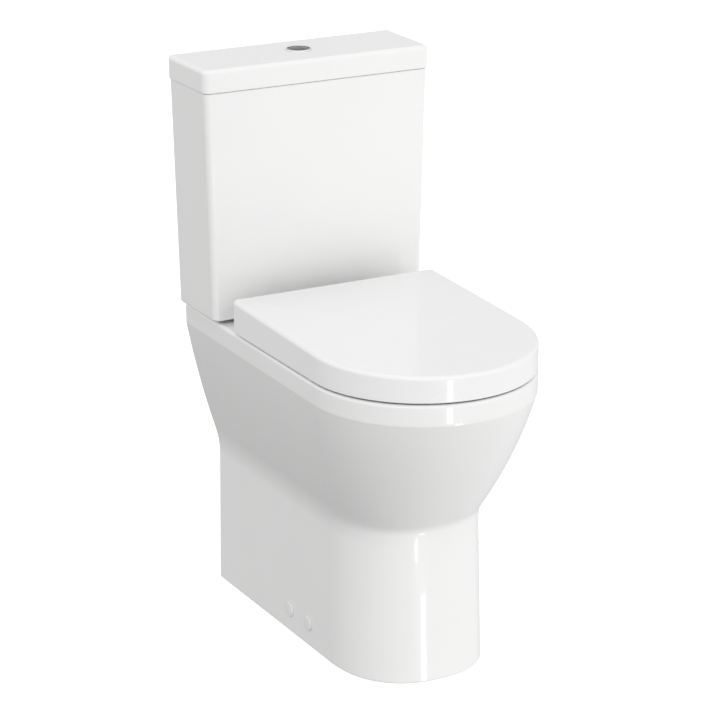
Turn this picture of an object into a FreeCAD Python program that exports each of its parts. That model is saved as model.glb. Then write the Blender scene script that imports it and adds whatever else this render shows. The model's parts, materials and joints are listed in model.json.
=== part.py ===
"""Close coupled toilet: a skirted pan with a cistern bolted on its rear deck, as separate working pieces.

Millimetres. +Z is up, -Y is the front, +X is to the right for someone who faces the toilet, and its outside
is symmetric about X = 0. The origin is on the floor, under the middle of the whole outline.
"""
import FreeCAD, Part
import math
import os

V = FreeCAD.Vector

# ---------------------------------------------------------------- driving dimensions
WALL_Y = 300.0              # finished wall behind the toilet
FRONT_Y = -300.0            # foremost point of the rim

DECK_Z = 460.0              # top of the pan
BAND_Z = 429.0              # lower edge of the vertical band round the rim
CREASE_Z = 234.0            # where the bowl meets the skirted base
DECK_THICK = 14.0
CHINA = 10.0                # wall of the ceramic

# The pan's outline at a height: half width at the wall and at the shoulder, front, nose length, power.
BASE_FOOT = (113.8, 113.8, -198.6, 128.0, 2.32)
BASE_TOP = (111.5, 111.5, -190.2, 128.0, 2.32)
BAND_LOW = (165.0, 168.6, -299.0, 168.6, 2.0)
BAND_TOP = (165.3, 169.0, FRONT_Y, 169.0, 2.0)
# Between crease and band: height, half width at the wall, front.
BELLY = ((250.0, 118.1, -200.8), (291.0, 131.2, -228.8), (332.0, 142.6, -253.6), (386.0, 155.8, -281.7))
RIM_ROUND = 5.0

# The bowl's cavity as ellipses: height, half width, front, back.
BOWL = (
    (461.0, 127.0, -257.0, 86.0),
    (425.0, 124.0, -251.0, 85.0),
    (375.0, 110.0, -224.0, 82.0),
    (320.0, 88.0, -170.0, 78.0),
    (270.0, 64.0, -96.0, 74.0),
    (215.0, 44.0, -32.0, 68.0),
    (170.0, 28.0, -6.0, 56.0),
)
BOWL_WALL = 9.0

TRAP_BORE_R = 27.0
TRAP_WALL = 8.0
TRAP_BEND_R = 37.5
# The trap's centre line in the plane X = 0, as (y, z): sump, dip, weir, weir, drop, outlet.
TRAP = ((15.0, 190.0), (75.0, 190.0), (130.0, 292.0), (186.0, 292.0), (216.0, 185.0), (262.0, 185.0))
OUTLET_Z = 185.0
OUTLET_R = 51.0
OUTLET_BORE_R = 43.5
OUTLET_START_Y = 232.0
OUTLET_END_Y = 287.0

# Cistern
CISTERN_Y = 241.0           # line of the flush valve, coupling bolts and button
CISTERN_FRONT_Y = 183.5
CISTERN_BOTTOM_Z = 465.0
CISTERN_TOP_Z = 810.4
CISTERN_HALF_LOW = 169.6
CISTERN_HALF_TOP = 183.0
CISTERN_WALL = 9.0
CISTERN_FLOOR = 10.0
CISTERN_CORNER_R = 9.5
LID_HALF = 185.0
LID_FRONT_Y = 182.0
LID_LOW_Z = 811.0
LID_TOP_Z = 844.0
LID_WALL = 13.0
LID_CROWN = 9.0
LID_ROUND = 4.0
COUPLING_X = 75.0
COUPLING_HOLE_R = 6.0
COUPLING_BOLT_R = 4.0
FLUSH_HOLE_R = 31.5         # holes in the cistern's floor
FILL_HOLE_R = 14.0
WALL_HOLE_X = 120.0
WALL_HOLE_Z = 760.0
WALL_HOLE_R = 4.0

# Seat
SEAT_AXIS_Y = 110.0
SEAT_AXIS_Z = 487.0
HINGE_X = 77.5              # half of the 155 mm between seat fixings
HINGE_HOLE_R = 7.0
COVER_HALF = 169.0
COVER_FRONT_Y = -299.5
COVER_BACK_Y = 131.0
COVER_LOW_Z = 462.5
COVER_TOP_Z = 509.0
COVER_WALL = 4.5
COVER_ROUND = 7.2
COVER_CORNER_R = 8.0
COVER_HEEL_R = 15.0
RING_INSET = 6.5
RING_LOW_Z = 468.0
RING_TOP_Z = 492.0
RING_HALF_HOLE = 118.0
RING_HOLE_FRONT = -247.0
RING_HOLE_BACK = 62.0
RING_WALL = 6.0
RING_ROUND = 5.0

# Flush valve and button
BUTTON_TRAVEL = 8.0
FULL_ROD = (-7.0, 234.0)    # where each push rod stands
HALF_ROD = (9.0, 248.0)
LEVER_PIVOT_Z = 752.0
LEVER_INPUT_ARM = 17.0
LEVER_OUTPUT_ARM = 20.0
LEVER_TILT = math.radians(14.0)
LEVER_THICK = 4.0

# Fill valve
FILL_X = 115.0
FILL_Y = 250.0
FILL_SHANK_R = 10.48        # half-inch pipe thread, outside
FILL_TAIL_Z = (430.0, 453.5)  # the stretch of thread that the supply screws on to
FILL_RELIEF_R = 9.4         # groove between that stretch and the nut's
FILL_NUT_Z = 455.0
FILL_LEVER_X = FILL_X + 11.0
FILL_LEVER_Z = 729.0
FILL_LEVER_ARM = 42.0
FILL_LEVER_TILT = math.radians(12.35)

# Floor fixing
SIDE_SCREW_Y = (0.0, 60.0)
SIDE_SCREW_Z = 35.7
SIDE_SCREW_R = 2.95
BRACKET_X = 80.0
BRACKET_HOLE_Y = (-10.0, 70.0)
BRACKET_HOLE_R = 3.2
BRACKET_Y = (-30.0, 90.0)
BRACKET_FOOT_X = 62.0
BRACKET_LEG_X = 100.0       # outer face of the upright leg, just inside the skirt
BRACKET_HIGH = 62.0
BRACKET_THICK = 3.0


# ---------------------------------------------------------------- helpers
def box(x0, x1, y0, y1, z0, z1):
    return Part.makeBox(x1 - x0, y1 - y0, z1 - z0, V(x0, y0, z0))


def rod(r, start, axis, length):
    return Part.makeCylinder(r, length, V(*start), V(*axis))


def tube(r_out, r_in, start, axis, length):
    return rod(r_out, start, axis, length).cut(rod(r_in, start, axis, length))


def upright(r, x, y, z0, z1):
    return rod(r, (x, y, z0), (0, 0, 1), z1 - z0)


def washer(r_out, r_in, x, y, z0, z1):
    return tube(r_out, r_in, (x, y, z0), (0, 0, 1), z1 - z0)


def fuse(shapes):
    shapes = list(shapes)
    whole = shapes[0].multiFuse(shapes[1:]) if len(shapes) > 1 else shapes[0]
    return whole.removeSplitter()


def mirrored(shape):
    return shape.mirror(V(0, 0, 0), V(1, 0, 0))


def polygon_prism(sides, across_flats, x, y, z0, z1):
    """A prism on a regular polygon, as on a nut."""
    r = across_flats / 2 / math.cos(math.pi / sides)
    corners = []
    for i in range(sides + 1):
        turn = 2 * math.pi * (i + 0.5) / sides
        corners.append(V(x + r * math.cos(turn), y + r * math.sin(turn), z0))
    return Part.Face(Part.makePolygon(corners)).extrude(V(0, 0, z1 - z0))


def d_wire(z, half_back, half_side, front, nose, power, back=WALL_Y):
    """A D outline: a straight back, straight sides, and a superelliptic nose of the given length."""
    shoulder = front + nose
    steps = 20
    points = []
    for i in range(steps + 1):
        turn = math.pi * i / steps
        c = math.cos(turn)
        s = math.sin(turn)
        x = half_side * math.copysign(abs(c) ** (2 / power), c)
        y = shoulder - nose * abs(s) ** (2 / power)
        points.append(V(x, y, z))
    nose_curve = Part.BSplineCurve()
    nose_curve.interpolate(Points=points, InitialTangent=V(0, -1, 0), FinalTangent=V(0, 1, 0))
    return Part.Wire([
        Part.makeLine(V(-half_back, back, z), V(half_back, back, z)),
        Part.makeLine(V(half_back, back, z), points[0]),
        nose_curve.toShape(),
        Part.makeLine(points[-1], V(-half_back, back, z)),
    ])


def inset(outline, by):
    """The same outline drawn inside by a distance, except at the back."""
    half_back, half_side, front, nose, power = outline
    return (half_back - by, half_side - by, front + by, nose - by, power)


def ellipse_wire(z, half, front, back):
    """An ellipse across X = 0 between two Y positions."""
    long_half = (back - front) / 2
    centre = V(0, (front + back) / 2, z)
    if long_half >= half:
        curve = Part.Ellipse(centre + V(0, long_half, 0), centre + V(-half, 0, 0), centre)
    else:
        curve = Part.Ellipse(centre + V(half, 0, 0), centre + V(0, long_half, 0), centre)
    return Part.Wire([curve.toShape()])


def rounded_rectangle(z, half, front, back, r_front, r_back):
    """A rectangle across X = 0 with one radius on its front corners and one on its back corners."""
    turns = (
        (half, front, r_front, -1, 1),
        (half, back, r_back, -1, -1),
        (-half, back, r_back, 1, -1),
        (-half, front, r_front, 1, 1),
    )
    ends = []
    arcs = []
    for x, y, r, inward_x, inward_y in turns:
        beside = V(x + inward_x * r, y, z)
        along = V(x, y + inward_y * r, z)
        k = r * (1 - math.sqrt(0.5))
        middle = V(x + inward_x * k, y + inward_y * k, z)
        first, last = (beside, along) if inward_x * inward_y < 0 else (along, beside)
        ends.append((first, last))
        arcs.append(Part.Arc(first, middle, last).toShape())
    edges = []
    for i in range(4):
        edges.append(arcs[i])
        edges.append(Part.makeLine(ends[i][1], ends[(i + 1) % 4][0]))
    return Part.Wire(edges)


def path_with_bends(points, r):
    """A wire of straight runs in the plane X = 0 joined by tangent arcs of radius r."""
    corners = [V(0, y, z) for y, z in points]
    edges = []
    start = corners[0]
    for before, corner, after in zip(corners, corners[1:], corners[2:]):
        to_before = (before - corner).normalize()
        to_after = (after - corner).normalize()
        half_open = to_before.getAngle(to_after) / 2
        reach = r / math.tan(half_open)
        first = corner + to_before * reach
        last = corner + to_after * reach
        bisector = (to_before + to_after).normalize()
        middle = corner + bisector * (r / math.sin(half_open) - r)
        edges.append(Part.makeLine(start, first))
        edges.append(Part.Arc(first, middle, last).toShape())
        start = last
    edges.append(Part.makeLine(start, corners[-1]))
    return Part.Wire(edges)


def swept(path, r):
    """A round bar along a path that starts along +Y."""
    start = path.Vertexes[0].Point
    circle = Part.Wire([Part.makeCircle(r, start, V(0, 1, 0))])
    return path.makePipeShell([circle], True, False)


# ---------------------------------------------------------------- pan
def between(low, high, t):
    return low + (high - low) * t


def pan_outlines():
    """(height, outline) from the floor to the deck, in the three stretches that meet at sharp edges."""
    base = [(0.0, BASE_FOOT), (CREASE_Z, BASE_TOP)]
    belly = [(CREASE_Z, BASE_TOP)]
    for z, half_back, front in BELLY:
        t = (z - CREASE_Z) / (BAND_Z - CREASE_Z)
        widening = (BAND_LOW[1] - BAND_LOW[0]) * t
        nose = between(BASE_TOP[3], BAND_LOW[3], t)
        power = between(BASE_TOP[4], BAND_LOW[4], t)
        belly.append((z, (half_back, half_back + widening, front, nose, power)))
    belly.append((BAND_Z, BAND_LOW))
    band = [(BAND_Z, BAND_LOW), (DECK_Z, BAND_TOP)]
    return base, belly, band


def pan_skin():
    """The outside of the pan as one closed solid, with its top edge rounded."""
    base, belly, band = pan_outlines()
    band[1] = (DECK_Z - RIM_ROUND, BAND_TOP)
    rim = []
    for turn in (0, 30, 60, 90):
        angle = math.radians(turn)
        z = DECK_Z - RIM_ROUND * (1 - math.sin(angle))
        rim.append((z, inset(BAND_TOP, RIM_ROUND * (1 - math.cos(angle)))))
    stretches = []
    for part in (base, belly, band, rim):
        stretches.append(Part.makeLoft([d_wire(z, *o) for z, o in part], True, False))
    return fuse(stretches)


def pan_hollow():
    """The space inside the skirt: open at the floor and at the wall, closed by the deck."""
    past_wall = WALL_Y + 20
    base, belly, band = pan_outlines()
    below_floor = (-5.0, BASE_FOOT)
    under_deck = (DECK_Z - DECK_THICK, BAND_TOP)
    solids = []
    for part in ([below_floor, base[1]], belly, [band[0], under_deck]):
        wires = [d_wire(z, *inset(o, CHINA), back=past_wall) for z, o in part]
        solids.append(Part.makeLoft(wires, True, False))
    return fuse(solids)


def bowl_solid(grow):
    wires = [ellipse_wire(BOWL[0][0], BOWL[0][1] + grow, BOWL[0][2] - grow, BOWL[0][3] + grow)]
    if grow:
        wires[0] = ellipse_wire(DECK_Z - 2, BOWL[0][1] + grow, BOWL[0][2] - grow, BOWL[0][3] + grow)
    for z, half, front, back in BOWL[1:]:
        wires.append(ellipse_wire(z - grow * 0.4, half + grow, front - grow, back + grow))
    return Part.makeLoft(wires, True, False)


def outlet(r, start, end):
    """The outlet's barrel with the cone that widens the trap to it."""
    small = r - (OUTLET_R - TRAP_BORE_R - TRAP_WALL) if r == OUTLET_R else TRAP_BORE_R
    cone_length = 14.0
    cone = Part.makeCone(small, r, cone_length, V(0, start, OUTLET_Z), V(0, 1, 0))
    return cone.fuse(rod(r, (0, start + cone_length, OUTLET_Z), (0, 1, 0), end - start - cone_length))


INLET_CUP_R = 48.0          # recess in the deck that the doughnut washer sits in
INLET_CUP_Z = 438.0
INLET_HOLE_R = 32.0
INLET_FLOOR_Z = 402.0
FLUSH_DUCT_R = 17.0
FLUSH_DUCT_Z = 419.0
PIPE_NOTCH_HALF = 21.0
SCREW_RECESS_R = 9.0
SCREW_RECESS_X = 108.6      # floor of the recess for a side screw's head
SCREW_HOLE_R = 4.2


def pan():
    """The one china casting: skirt, deck, bowl, trap, outlet and the flush duct behind the bowl."""
    wall = 8.0
    duct_front_y = 70.0         # where the flush duct opens into the back of the bowl
    hole_low_z = DECK_Z - 2 * DECK_THICK - 2
    grown = [
        bowl_solid(BOWL_WALL),
        swept(path_with_bends(TRAP, TRAP_BEND_R), TRAP_BORE_R + TRAP_WALL),
        outlet(OUTLET_R, OUTLET_START_Y, OUTLET_END_Y),
        upright(INLET_CUP_R + wall, 0, CISTERN_Y, INLET_CUP_Z - wall, DECK_Z - 1),
        upright(INLET_HOLE_R + wall, 0, CISTERN_Y, INLET_FLOOR_Z - wall, INLET_CUP_Z),
        rod(FLUSH_DUCT_R + 6, (0, CISTERN_Y, FLUSH_DUCT_Z), (0, -1, 0), CISTERN_Y - duct_front_y - 19),
    ]
    shell = pan_skin().cut(pan_hollow())
    body = fuse([shell] + grown)
    cuts = [
        bowl_solid(0),
        swept(path_with_bends(TRAP, TRAP_BEND_R), TRAP_BORE_R),
        outlet(OUTLET_BORE_R, OUTLET_START_Y, OUTLET_END_Y + 1),
        upright(INLET_CUP_R, 0, CISTERN_Y, INLET_CUP_Z, DECK_Z + 1),
        upright(INLET_HOLE_R, 0, CISTERN_Y, INLET_FLOOR_Z, DECK_Z),
        rod(FLUSH_DUCT_R, (0, CISTERN_Y, FLUSH_DUCT_Z), (0, -1, 0), CISTERN_Y - duct_front_y),
        box(FILL_X - PIPE_NOTCH_HALF, FILL_X + PIPE_NOTCH_HALF, FILL_Y - PIPE_NOTCH_HALF, WALL_Y + 1,
            hole_low_z, DECK_Z + 1),
    ]
    for side in (-1, 1):
        cuts.append(upright(HINGE_HOLE_R, side * HINGE_X, SEAT_AXIS_Y, hole_low_z, DECK_Z + 1))
        cuts.append(upright(COUPLING_HOLE_R, side * COUPLING_X, CISTERN_Y, hole_low_z, DECK_Z + 1))
        for y in SIDE_SCREW_Y:
            cuts.append(rod(SCREW_HOLE_R, (side * 95, y, SIDE_SCREW_Z), (side, 0, 0), 30))
            cuts.append(rod(SCREW_RECESS_R, (side * SCREW_RECESS_X, y, SIDE_SCREW_Z), (side, 0, 0), 20))
    for cut in cuts:
        body = body.cut(cut)
    return body


# ---------------------------------------------------------------- floor fixing
def floor_bracket(side):
    """An angle screwed to the floor, that the pan is lowered over and then screwed to from the side."""
    inner_x = BRACKET_LEG_X - BRACKET_THICK
    gusset_y = 30.0
    gusset_thick = 4.0
    gusset_top = V(inner_x, gusset_y, 45.0)
    gusset_heel = V(inner_x, gusset_y, BRACKET_THICK)
    gusset_toe = V(68.0, gusset_y, BRACKET_THICK)
    gusset_edge = Part.makePolygon([gusset_heel, gusset_top, gusset_toe, gusset_heel])
    leg = box(inner_x, BRACKET_LEG_X, *BRACKET_Y, 0.0, BRACKET_HIGH)
    foot = box(BRACKET_FOOT_X, inner_x, *BRACKET_Y, 0.0, BRACKET_THICK)
    block = fuse([leg, foot, Part.Face(gusset_edge).extrude(V(0, gusset_thick, 0))])
    for y in SIDE_SCREW_Y:
        block = block.cut(rod(SIDE_SCREW_R + 0.05, (inner_x - 7, y, SIDE_SCREW_Z), (1, 0, 0), 20))
    for y in BRACKET_HOLE_Y:
        block = block.cut(upright(BRACKET_HOLE_R, BRACKET_X, y, -1, BRACKET_THICK + 1))
    return block if side > 0 else mirrored(block)


def side_screws():
    tip_x = 92.0
    head_r = 6.0
    head_thick = 3.0
    screws = []
    for y in SIDE_SCREW_Y:
        shank = rod(SIDE_SCREW_R, (tip_x, y, SIDE_SCREW_Z), (1, 0, 0), SCREW_RECESS_X - tip_x)
        head = rod(head_r, (SCREW_RECESS_X, y, SIDE_SCREW_Z), (1, 0, 0), head_thick)
        screws.append(shank.fuse(head).removeSplitter())
    return screws + [mirrored(s) for s in screws]


def side_caps():
    cap_r = 11.75
    thick = 2.4
    face_x = BASE_FOOT[1] - 0.2
    spigot_depth = 1.7
    caps = []
    for y in SIDE_SCREW_Y:
        disc = rod(cap_r, (face_x, y, SIDE_SCREW_Z), (1, 0, 0), thick)
        disc = disc.makeFillet(thick / 2, [max(disc.Edges, key=lambda e: e.BoundBox.XMin)])
        spigot = tube(SCREW_RECESS_R - 0.1, 7.2, (face_x - spigot_depth, y, SIDE_SCREW_Z), (1, 0, 0), 1.8)
        caps.append(disc.fuse(spigot).removeSplitter())
    return caps + [mirrored(c) for c in caps]


# ---------------------------------------------------------------- cistern
def cistern_body():
    def tapered(shrink, z0, z1, r):
        """The cistern's block between two heights, drawn in by shrink; its sides lean outwards."""
        lean = (CISTERN_HALF_TOP - CISTERN_HALF_LOW) / (CISTERN_TOP_Z - CISTERN_BOTTOM_Z)
        front = CISTERN_FRONT_Y + shrink
        back = WALL_Y + 1 - shrink
        wires = []
        for z in (z0, z1):
            half = CISTERN_HALF_LOW + lean * (z - CISTERN_BOTTOM_Z) - shrink
            wires.append(rounded_rectangle(z, half, front, back, r, r * 0.6))
        return Part.makeLoft(wires, True, True)

    block = tapered(0, CISTERN_BOTTOM_Z, CISTERN_TOP_Z, CISTERN_CORNER_R)
    block = block.cut(box(-200, 200, WALL_Y, WALL_Y + 5, CISTERN_BOTTOM_Z - 1, CISTERN_TOP_Z + 1))
    room = tapered(CISTERN_WALL, CISTERN_BOTTOM_Z + CISTERN_FLOOR, CISTERN_TOP_Z + 1, 8.0)
    body = block.cut(room)
    floor = (CISTERN_BOTTOM_Z - 1, CISTERN_BOTTOM_Z + CISTERN_FLOOR + 1)
    body = body.cut(upright(FLUSH_HOLE_R, 0, CISTERN_Y, *floor))
    body = body.cut(upright(FILL_HOLE_R, FILL_X, FILL_Y, *floor))
    for side in (-1, 1):
        body = body.cut(upright(COUPLING_HOLE_R, side * COUPLING_X, CISTERN_Y, *floor))
        body = body.cut(rod(WALL_HOLE_R, (side * WALL_HOLE_X, WALL_Y - 20, WALL_HOLE_Z), (0, 1, 0), 30))
    return body


BUTTON_HOLE_R = 18.8


def cistern_lid():
    def slab(shrink, z0, z1, r):
        outline = rounded_rectangle(z0, LID_HALF - shrink, LID_FRONT_Y + shrink, WALL_Y - shrink, r, r * 0.5)
        return Part.Face(outline).extrude(V(0, 0, z1 - z0))

    block = slab(0, LID_LOW_Z, LID_TOP_Z, CISTERN_CORNER_R)
    on_top = [e for e in block.Edges if e.BoundBox.ZMin > LID_TOP_Z - 0.01]
    block = block.makeFillet(LID_ROUND, [e for e in on_top if e.BoundBox.YMin < WALL_Y - 5.5])
    lid = block.cut(slab(LID_WALL, LID_LOW_Z - 1, LID_TOP_Z - LID_CROWN, 5.0))
    locating_half = 150.0
    locating_drop = 8.0
    for y0, y1 in ((193.8, 198.0), (285.5, 289.8)):
        rib = box(-locating_half, locating_half, y0, y1, LID_LOW_Z - locating_drop, LID_TOP_Z - LID_CROWN + 1)
        lid = lid.fuse(rib)
    lid = lid.removeSplitter()
    return lid.cut(upright(BUTTON_HOLE_R, 0, CISTERN_Y, LID_LOW_Z, LID_TOP_Z + 1))


def cushion_pads():
    """Square rubber pads that the cistern's front corners rest on."""
    pads = []
    for x in (-140.0, 140.0):
        pads.append(box(x - 12, x + 12, 192.0, 216.0, DECK_Z, CISTERN_BOTTOM_Z))
    return pads


# ---------------------------------------------------------------- cistern to pan
def doughnut_washer():
    r = INLET_CUP_R - 0.5
    ring = washer(r, 42.5, 0, CISTERN_Y, 453.0, CISTERN_BOTTOM_Z)
    lip = washer(r, 31.0, 0, CISTERN_Y, INLET_CUP_Z, 453.0)
    return ring.fuse(lip).removeSplitter()


def coupling_bolts():
    tip_z = 412.0
    head_z = 487.0
    bolts = []
    for side in (-1, 1):
        x = side * COUPLING_X
        shank = upright(COUPLING_BOLT_R, x, CISTERN_Y, tip_z, head_z + 1)
        head = polygon_prism(6, 13.0, x, CISTERN_Y, head_z, head_z + 6)
        bolts.append(shank.fuse(head).removeSplitter())
    return bolts


def cone_washers():
    """Rubber cones under the bolt heads, inside the cistern."""
    inside = CISTERN_BOTTOM_Z + CISTERN_FLOOR
    washers = []
    for side in (-1, 1):
        x = side * COUPLING_X
        flange = upright(13.0, x, CISTERN_Y, inside, inside + 4)
        cone = Part.makeCone(13.0, 8.0, 6.0, V(x, CISTERN_Y, inside + 4))
        plug = upright(5.8, x, CISTERN_Y, inside - 4, inside)
        bore = upright(COUPLING_BOLT_R + 0.1, x, CISTERN_Y, CISTERN_BOTTOM_Z - 5, inside + 25)
        washers.append(fuse([flange, cone, plug]).cut(bore))
    return washers


def head_washers():
    bore = COUPLING_BOLT_R + 0.2
    return [washer(8.0, bore, side * COUPLING_X, CISTERN_Y, 485.2, 486.8) for side in (-1, 1)]


def deck_washers():
    low = DECK_Z - DECK_THICK - 2.0
    bore = COUPLING_BOLT_R + 0.2
    return [washer(12.0, bore, side * COUPLING_X, CISTERN_Y, low, low + 2.0) for side in (-1, 1)]


def wing_nut(x, y, top, bore, wing):
    hub = upright(bore + 4.5, x, y, top - 11, top)
    wings = box(x - wing, x + wing, y - 1.6, y + 1.6, top - 17, top - 4)
    wings = wings.makeFillet(1.4, [e for e in wings.Edges if abs(e.tangentAt(e.FirstParameter).y) > 0.9])
    return hub.fuse(wings).cut(upright(bore, x, y, top - 20, top + 1)).removeSplitter()


def coupling_wing_nuts():
    top = DECK_Z - DECK_THICK - 2.0
    bore = COUPLING_BOLT_R + 0.02
    return [wing_nut(side * COUPLING_X, CISTERN_Y, top, bore, 15.0) for side in (-1, 1)]


# ---------------------------------------------------------------- flush valve
CAGE_R = 40.0
CAGE_TOP_Z = 640.0
SPINDLE_R = 10.0


def flush_valve_base():
    shank = washer(29.8, 24.0, 0, CISTERN_Y, 445.0, 479.0)
    flange = washer(42.0, 24.0, 0, CISTERN_Y, 478.0, 482.0)
    seat = washer(28.0, 24.0, 0, CISTERN_Y, 482.0, 490.0)
    spider = box(-25, 25, CISTERN_Y - 1.5, CISTERN_Y + 1.5, 470.0, 480.0)
    cross = box(-1.5, 1.5, CISTERN_Y - 25, CISTERN_Y + 25, 470.0, 480.0)
    return fuse([shank, flange, seat, spider, cross])


def flush_valve_nut():
    ring = washer(41.5, 29.9, 0, CISTERN_Y, 453.2, CISTERN_BOTTOM_Z)
    lobes = 8
    for i in range(lobes):
        turn = 2 * math.pi * i / lobes
        ring = ring.cut(upright(5.0, 44 * math.cos(turn), CISTERN_Y + 44 * math.sin(turn), 453, 466))
    return ring


def flush_valve_cage():
    foot = washer(CAGE_R, 34.0, 0, CISTERN_Y, 482.0, 492.0)
    barrel = washer(CAGE_R, CAGE_R - 2.5, 0, CISTERN_Y, 540.0, CAGE_TOP_Z)
    ribs = []
    for i in range(6):
        turn = 2 * math.pi * (i + 0.5) / 6
        rib = box(CAGE_R - 4, CAGE_R - 0.5, -4, 4, 490, 542)
        rib.rotate(V(0, 0, 0), V(0, 0, 1), math.degrees(turn))
        rib.translate(V(0, CISTERN_Y, 0))
        ribs.append(rib)
    roof = upright(CAGE_R, 0, CISTERN_Y, CAGE_TOP_Z, CAGE_TOP_Z + 4)
    guide = box(-58, -30, 242, 254, CAGE_TOP_Z, CAGE_TOP_Z + 4)
    cage = fuse([foot, barrel, roof, guide] + ribs)
    cage = cage.cut(upright(SPINDLE_R + 0.3, 0, CISTERN_Y, CAGE_TOP_Z - 1, CAGE_TOP_Z + 5))
    cage = cage.cut(upright(2.8, -50, 248, CAGE_TOP_Z - 1, CAGE_TOP_Z + 5))
    for turn in (30, 150, 270):
        angle = math.radians(turn)
        cage = cage.cut(upright(7.0, 24 * math.cos(angle), CISTERN_Y + 24 * math.sin(angle), 639, 645))
    return cage


def overflow_spindle():
    """The tube that drains the overflow and lifts the seal, with its yoke above the levers."""
    pipe = washer(SPINDLE_R, SPINDLE_R - 1.8, 0, CISTERN_Y, 494.0, 728.0)
    foot = washer(31.0, SPINDLE_R - 1.8, 0, CISTERN_Y, 494.0, 498.0)
    bar = box(-9.0, 9.0, CISTERN_Y - 2, CISTERN_Y + 2, 718.0, 727.0)
    stem = upright(3.0, 0, CISTERN_Y, 718.0, 768.0)
    arm = box(-3.0, 33.0, 232.0, 243.5, 764.0, 768.0)
    pad = upright(1.6, 30.5, 234.0, 751.0, 765.0)
    return fuse([pipe, foot, bar, stem, arm, pad])


def spindle_float():
    return washer(34.0, SPINDLE_R + 0.05, 0, CISTERN_Y, 560.0, 600.0)


def flush_seal():
    return washer(31.0, 21.0, 0, CISTERN_Y, 490.3, 494.0)


def half_flush_float():
    x, y = -50.0, 248.0
    block = box(x - 10, x + 7, 234, 258, 560, 600)
    block = block.makeFillet(3.0, [e for e in block.Edges if abs(e.tangentAt(e.FirstParameter).z) > 0.9])
    stem = upright(2.5, x, y, 599, 768)
    arm = box(x - 2.5, -26.0, y - 2.5, y + 2.5, 764, 768)
    pad = upright(1.6, -28.5, y, 751, 765)
    return fuse([block, stem, arm, pad])


def actuator_bridge():
    base = washer(CAGE_R - 1, 17.5, 0, CISTERN_Y, CAGE_TOP_Z + 4, CAGE_TOP_Z + 8)
    base = base.cut(box(-60, -38, 240, 256, CAGE_TOP_Z + 3, CAGE_TOP_Z + 9))
    front = box(5, 15, 225.5, 230.0, CAGE_TOP_Z + 6, LEVER_PIVOT_Z + 7)
    rear = box(-13, -3, 252.0, 256.5, CAGE_TOP_Z + 6, LEVER_PIVOT_Z + 7)
    bridge = fuse([base, front, rear])
    bridge = bridge.cut(rod(2.0, (10, 220, LEVER_PIVOT_Z), (0, 1, 0), 12))
    return bridge.cut(rod(2.0, (-8, 250, LEVER_PIVOT_Z), (0, 1, 0), 12))


def lever(pivot_x, y, direction):
    """A rocking lever; direction is the side its input end points to. It rests with that end raised."""
    reach = (-LEVER_INPUT_ARM, LEVER_OUTPUT_ARM)
    bar = box(reach[0], reach[1], y - LEVER_THICK / 2, y + LEVER_THICK / 2, -2.5, 2.5)
    ends = [rod(3.0, (x, y - LEVER_THICK / 2, 0), (0, 1, 0), LEVER_THICK) for x in reach]
    hub = rod(5.0, (0, y - LEVER_THICK / 2, 0), (0, 1, 0), LEVER_THICK)
    shape = fuse([bar, hub] + ends).cut(rod(2.05, (0, y - 5, 0), (0, 1, 0), 10))
    shape.rotate(V(0, 0, 0), V(0, 1, 0), math.degrees(LEVER_TILT))
    if direction > 0:
        shape = mirrored(shape)
    shape.translate(V(pivot_x, 0, LEVER_PIVOT_Z))
    return shape


def lever_pins():
    return [
        rod(1.98, (10, 226.0, LEVER_PIVOT_Z), (0, 1, 0), 11.0),
        rod(1.98, (-8, 245.0, LEVER_PIVOT_Z), (0, 1, 0), 11.0),
    ]


# ---------------------------------------------------------------- button set
BEZEL_BORE_R = 17.0
BUTTON_R = 16.7
BEZEL_PLATE_Z = (812.0, 814.0)
BUTTON_LOW_Z = 836.0
BUTTON_TOP_Z = 846.5
POCKET_R = 4.2              # the spring goes into a pocket in the cap as the cap is pressed
POCKET_DEPTH = 7.5
SPRING_COIL_R = 3.2
SPRING_WIRE_R = 0.4
PUSH_ROD_R = 2.0
ROD_GRIP = 1.0              # how far the rod's end stands in the cap
SPLIT_X = 3.0
ROD_TIP_GAP = 0.8


def button_bezel():
    low, plate_top = BEZEL_PLATE_Z
    rim_z = 846.0
    barrel = washer(18.4, BEZEL_BORE_R, 0, CISTERN_Y, low, rim_z - 1)
    flange = washer(19.6, BEZEL_BORE_R, 0, CISTERN_Y, LID_TOP_Z, rim_z)
    on_rim = [e for e in flange.Edges if e.BoundBox.ZMin > rim_z - 0.1]
    flange = flange.makeFillet(0.9, [e for e in on_rim if e.BoundBox.XMax > BEZEL_BORE_R + 2])
    plate = upright(BEZEL_BORE_R + 0.5, 0, CISTERN_Y, low, plate_top)
    bezel = fuse([barrel, flange, plate])
    for x, y in (FULL_ROD, HALF_ROD):
        bezel = bezel.cut(upright(PUSH_ROD_R + 0.3, x, y, low - 1, plate_top + 1))
    return bezel


def button_ring_nut():
    ring = washer(25.0, 18.5, 0, CISTERN_Y, 829.0, LID_TOP_Z - LID_CROWN)
    for i in range(6):
        turn = math.pi * i / 3
        ring = ring.cut(upright(2.5, 26 * math.cos(turn), CISTERN_Y + 26 * math.sin(turn), 828, 836))
    return ring


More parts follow.
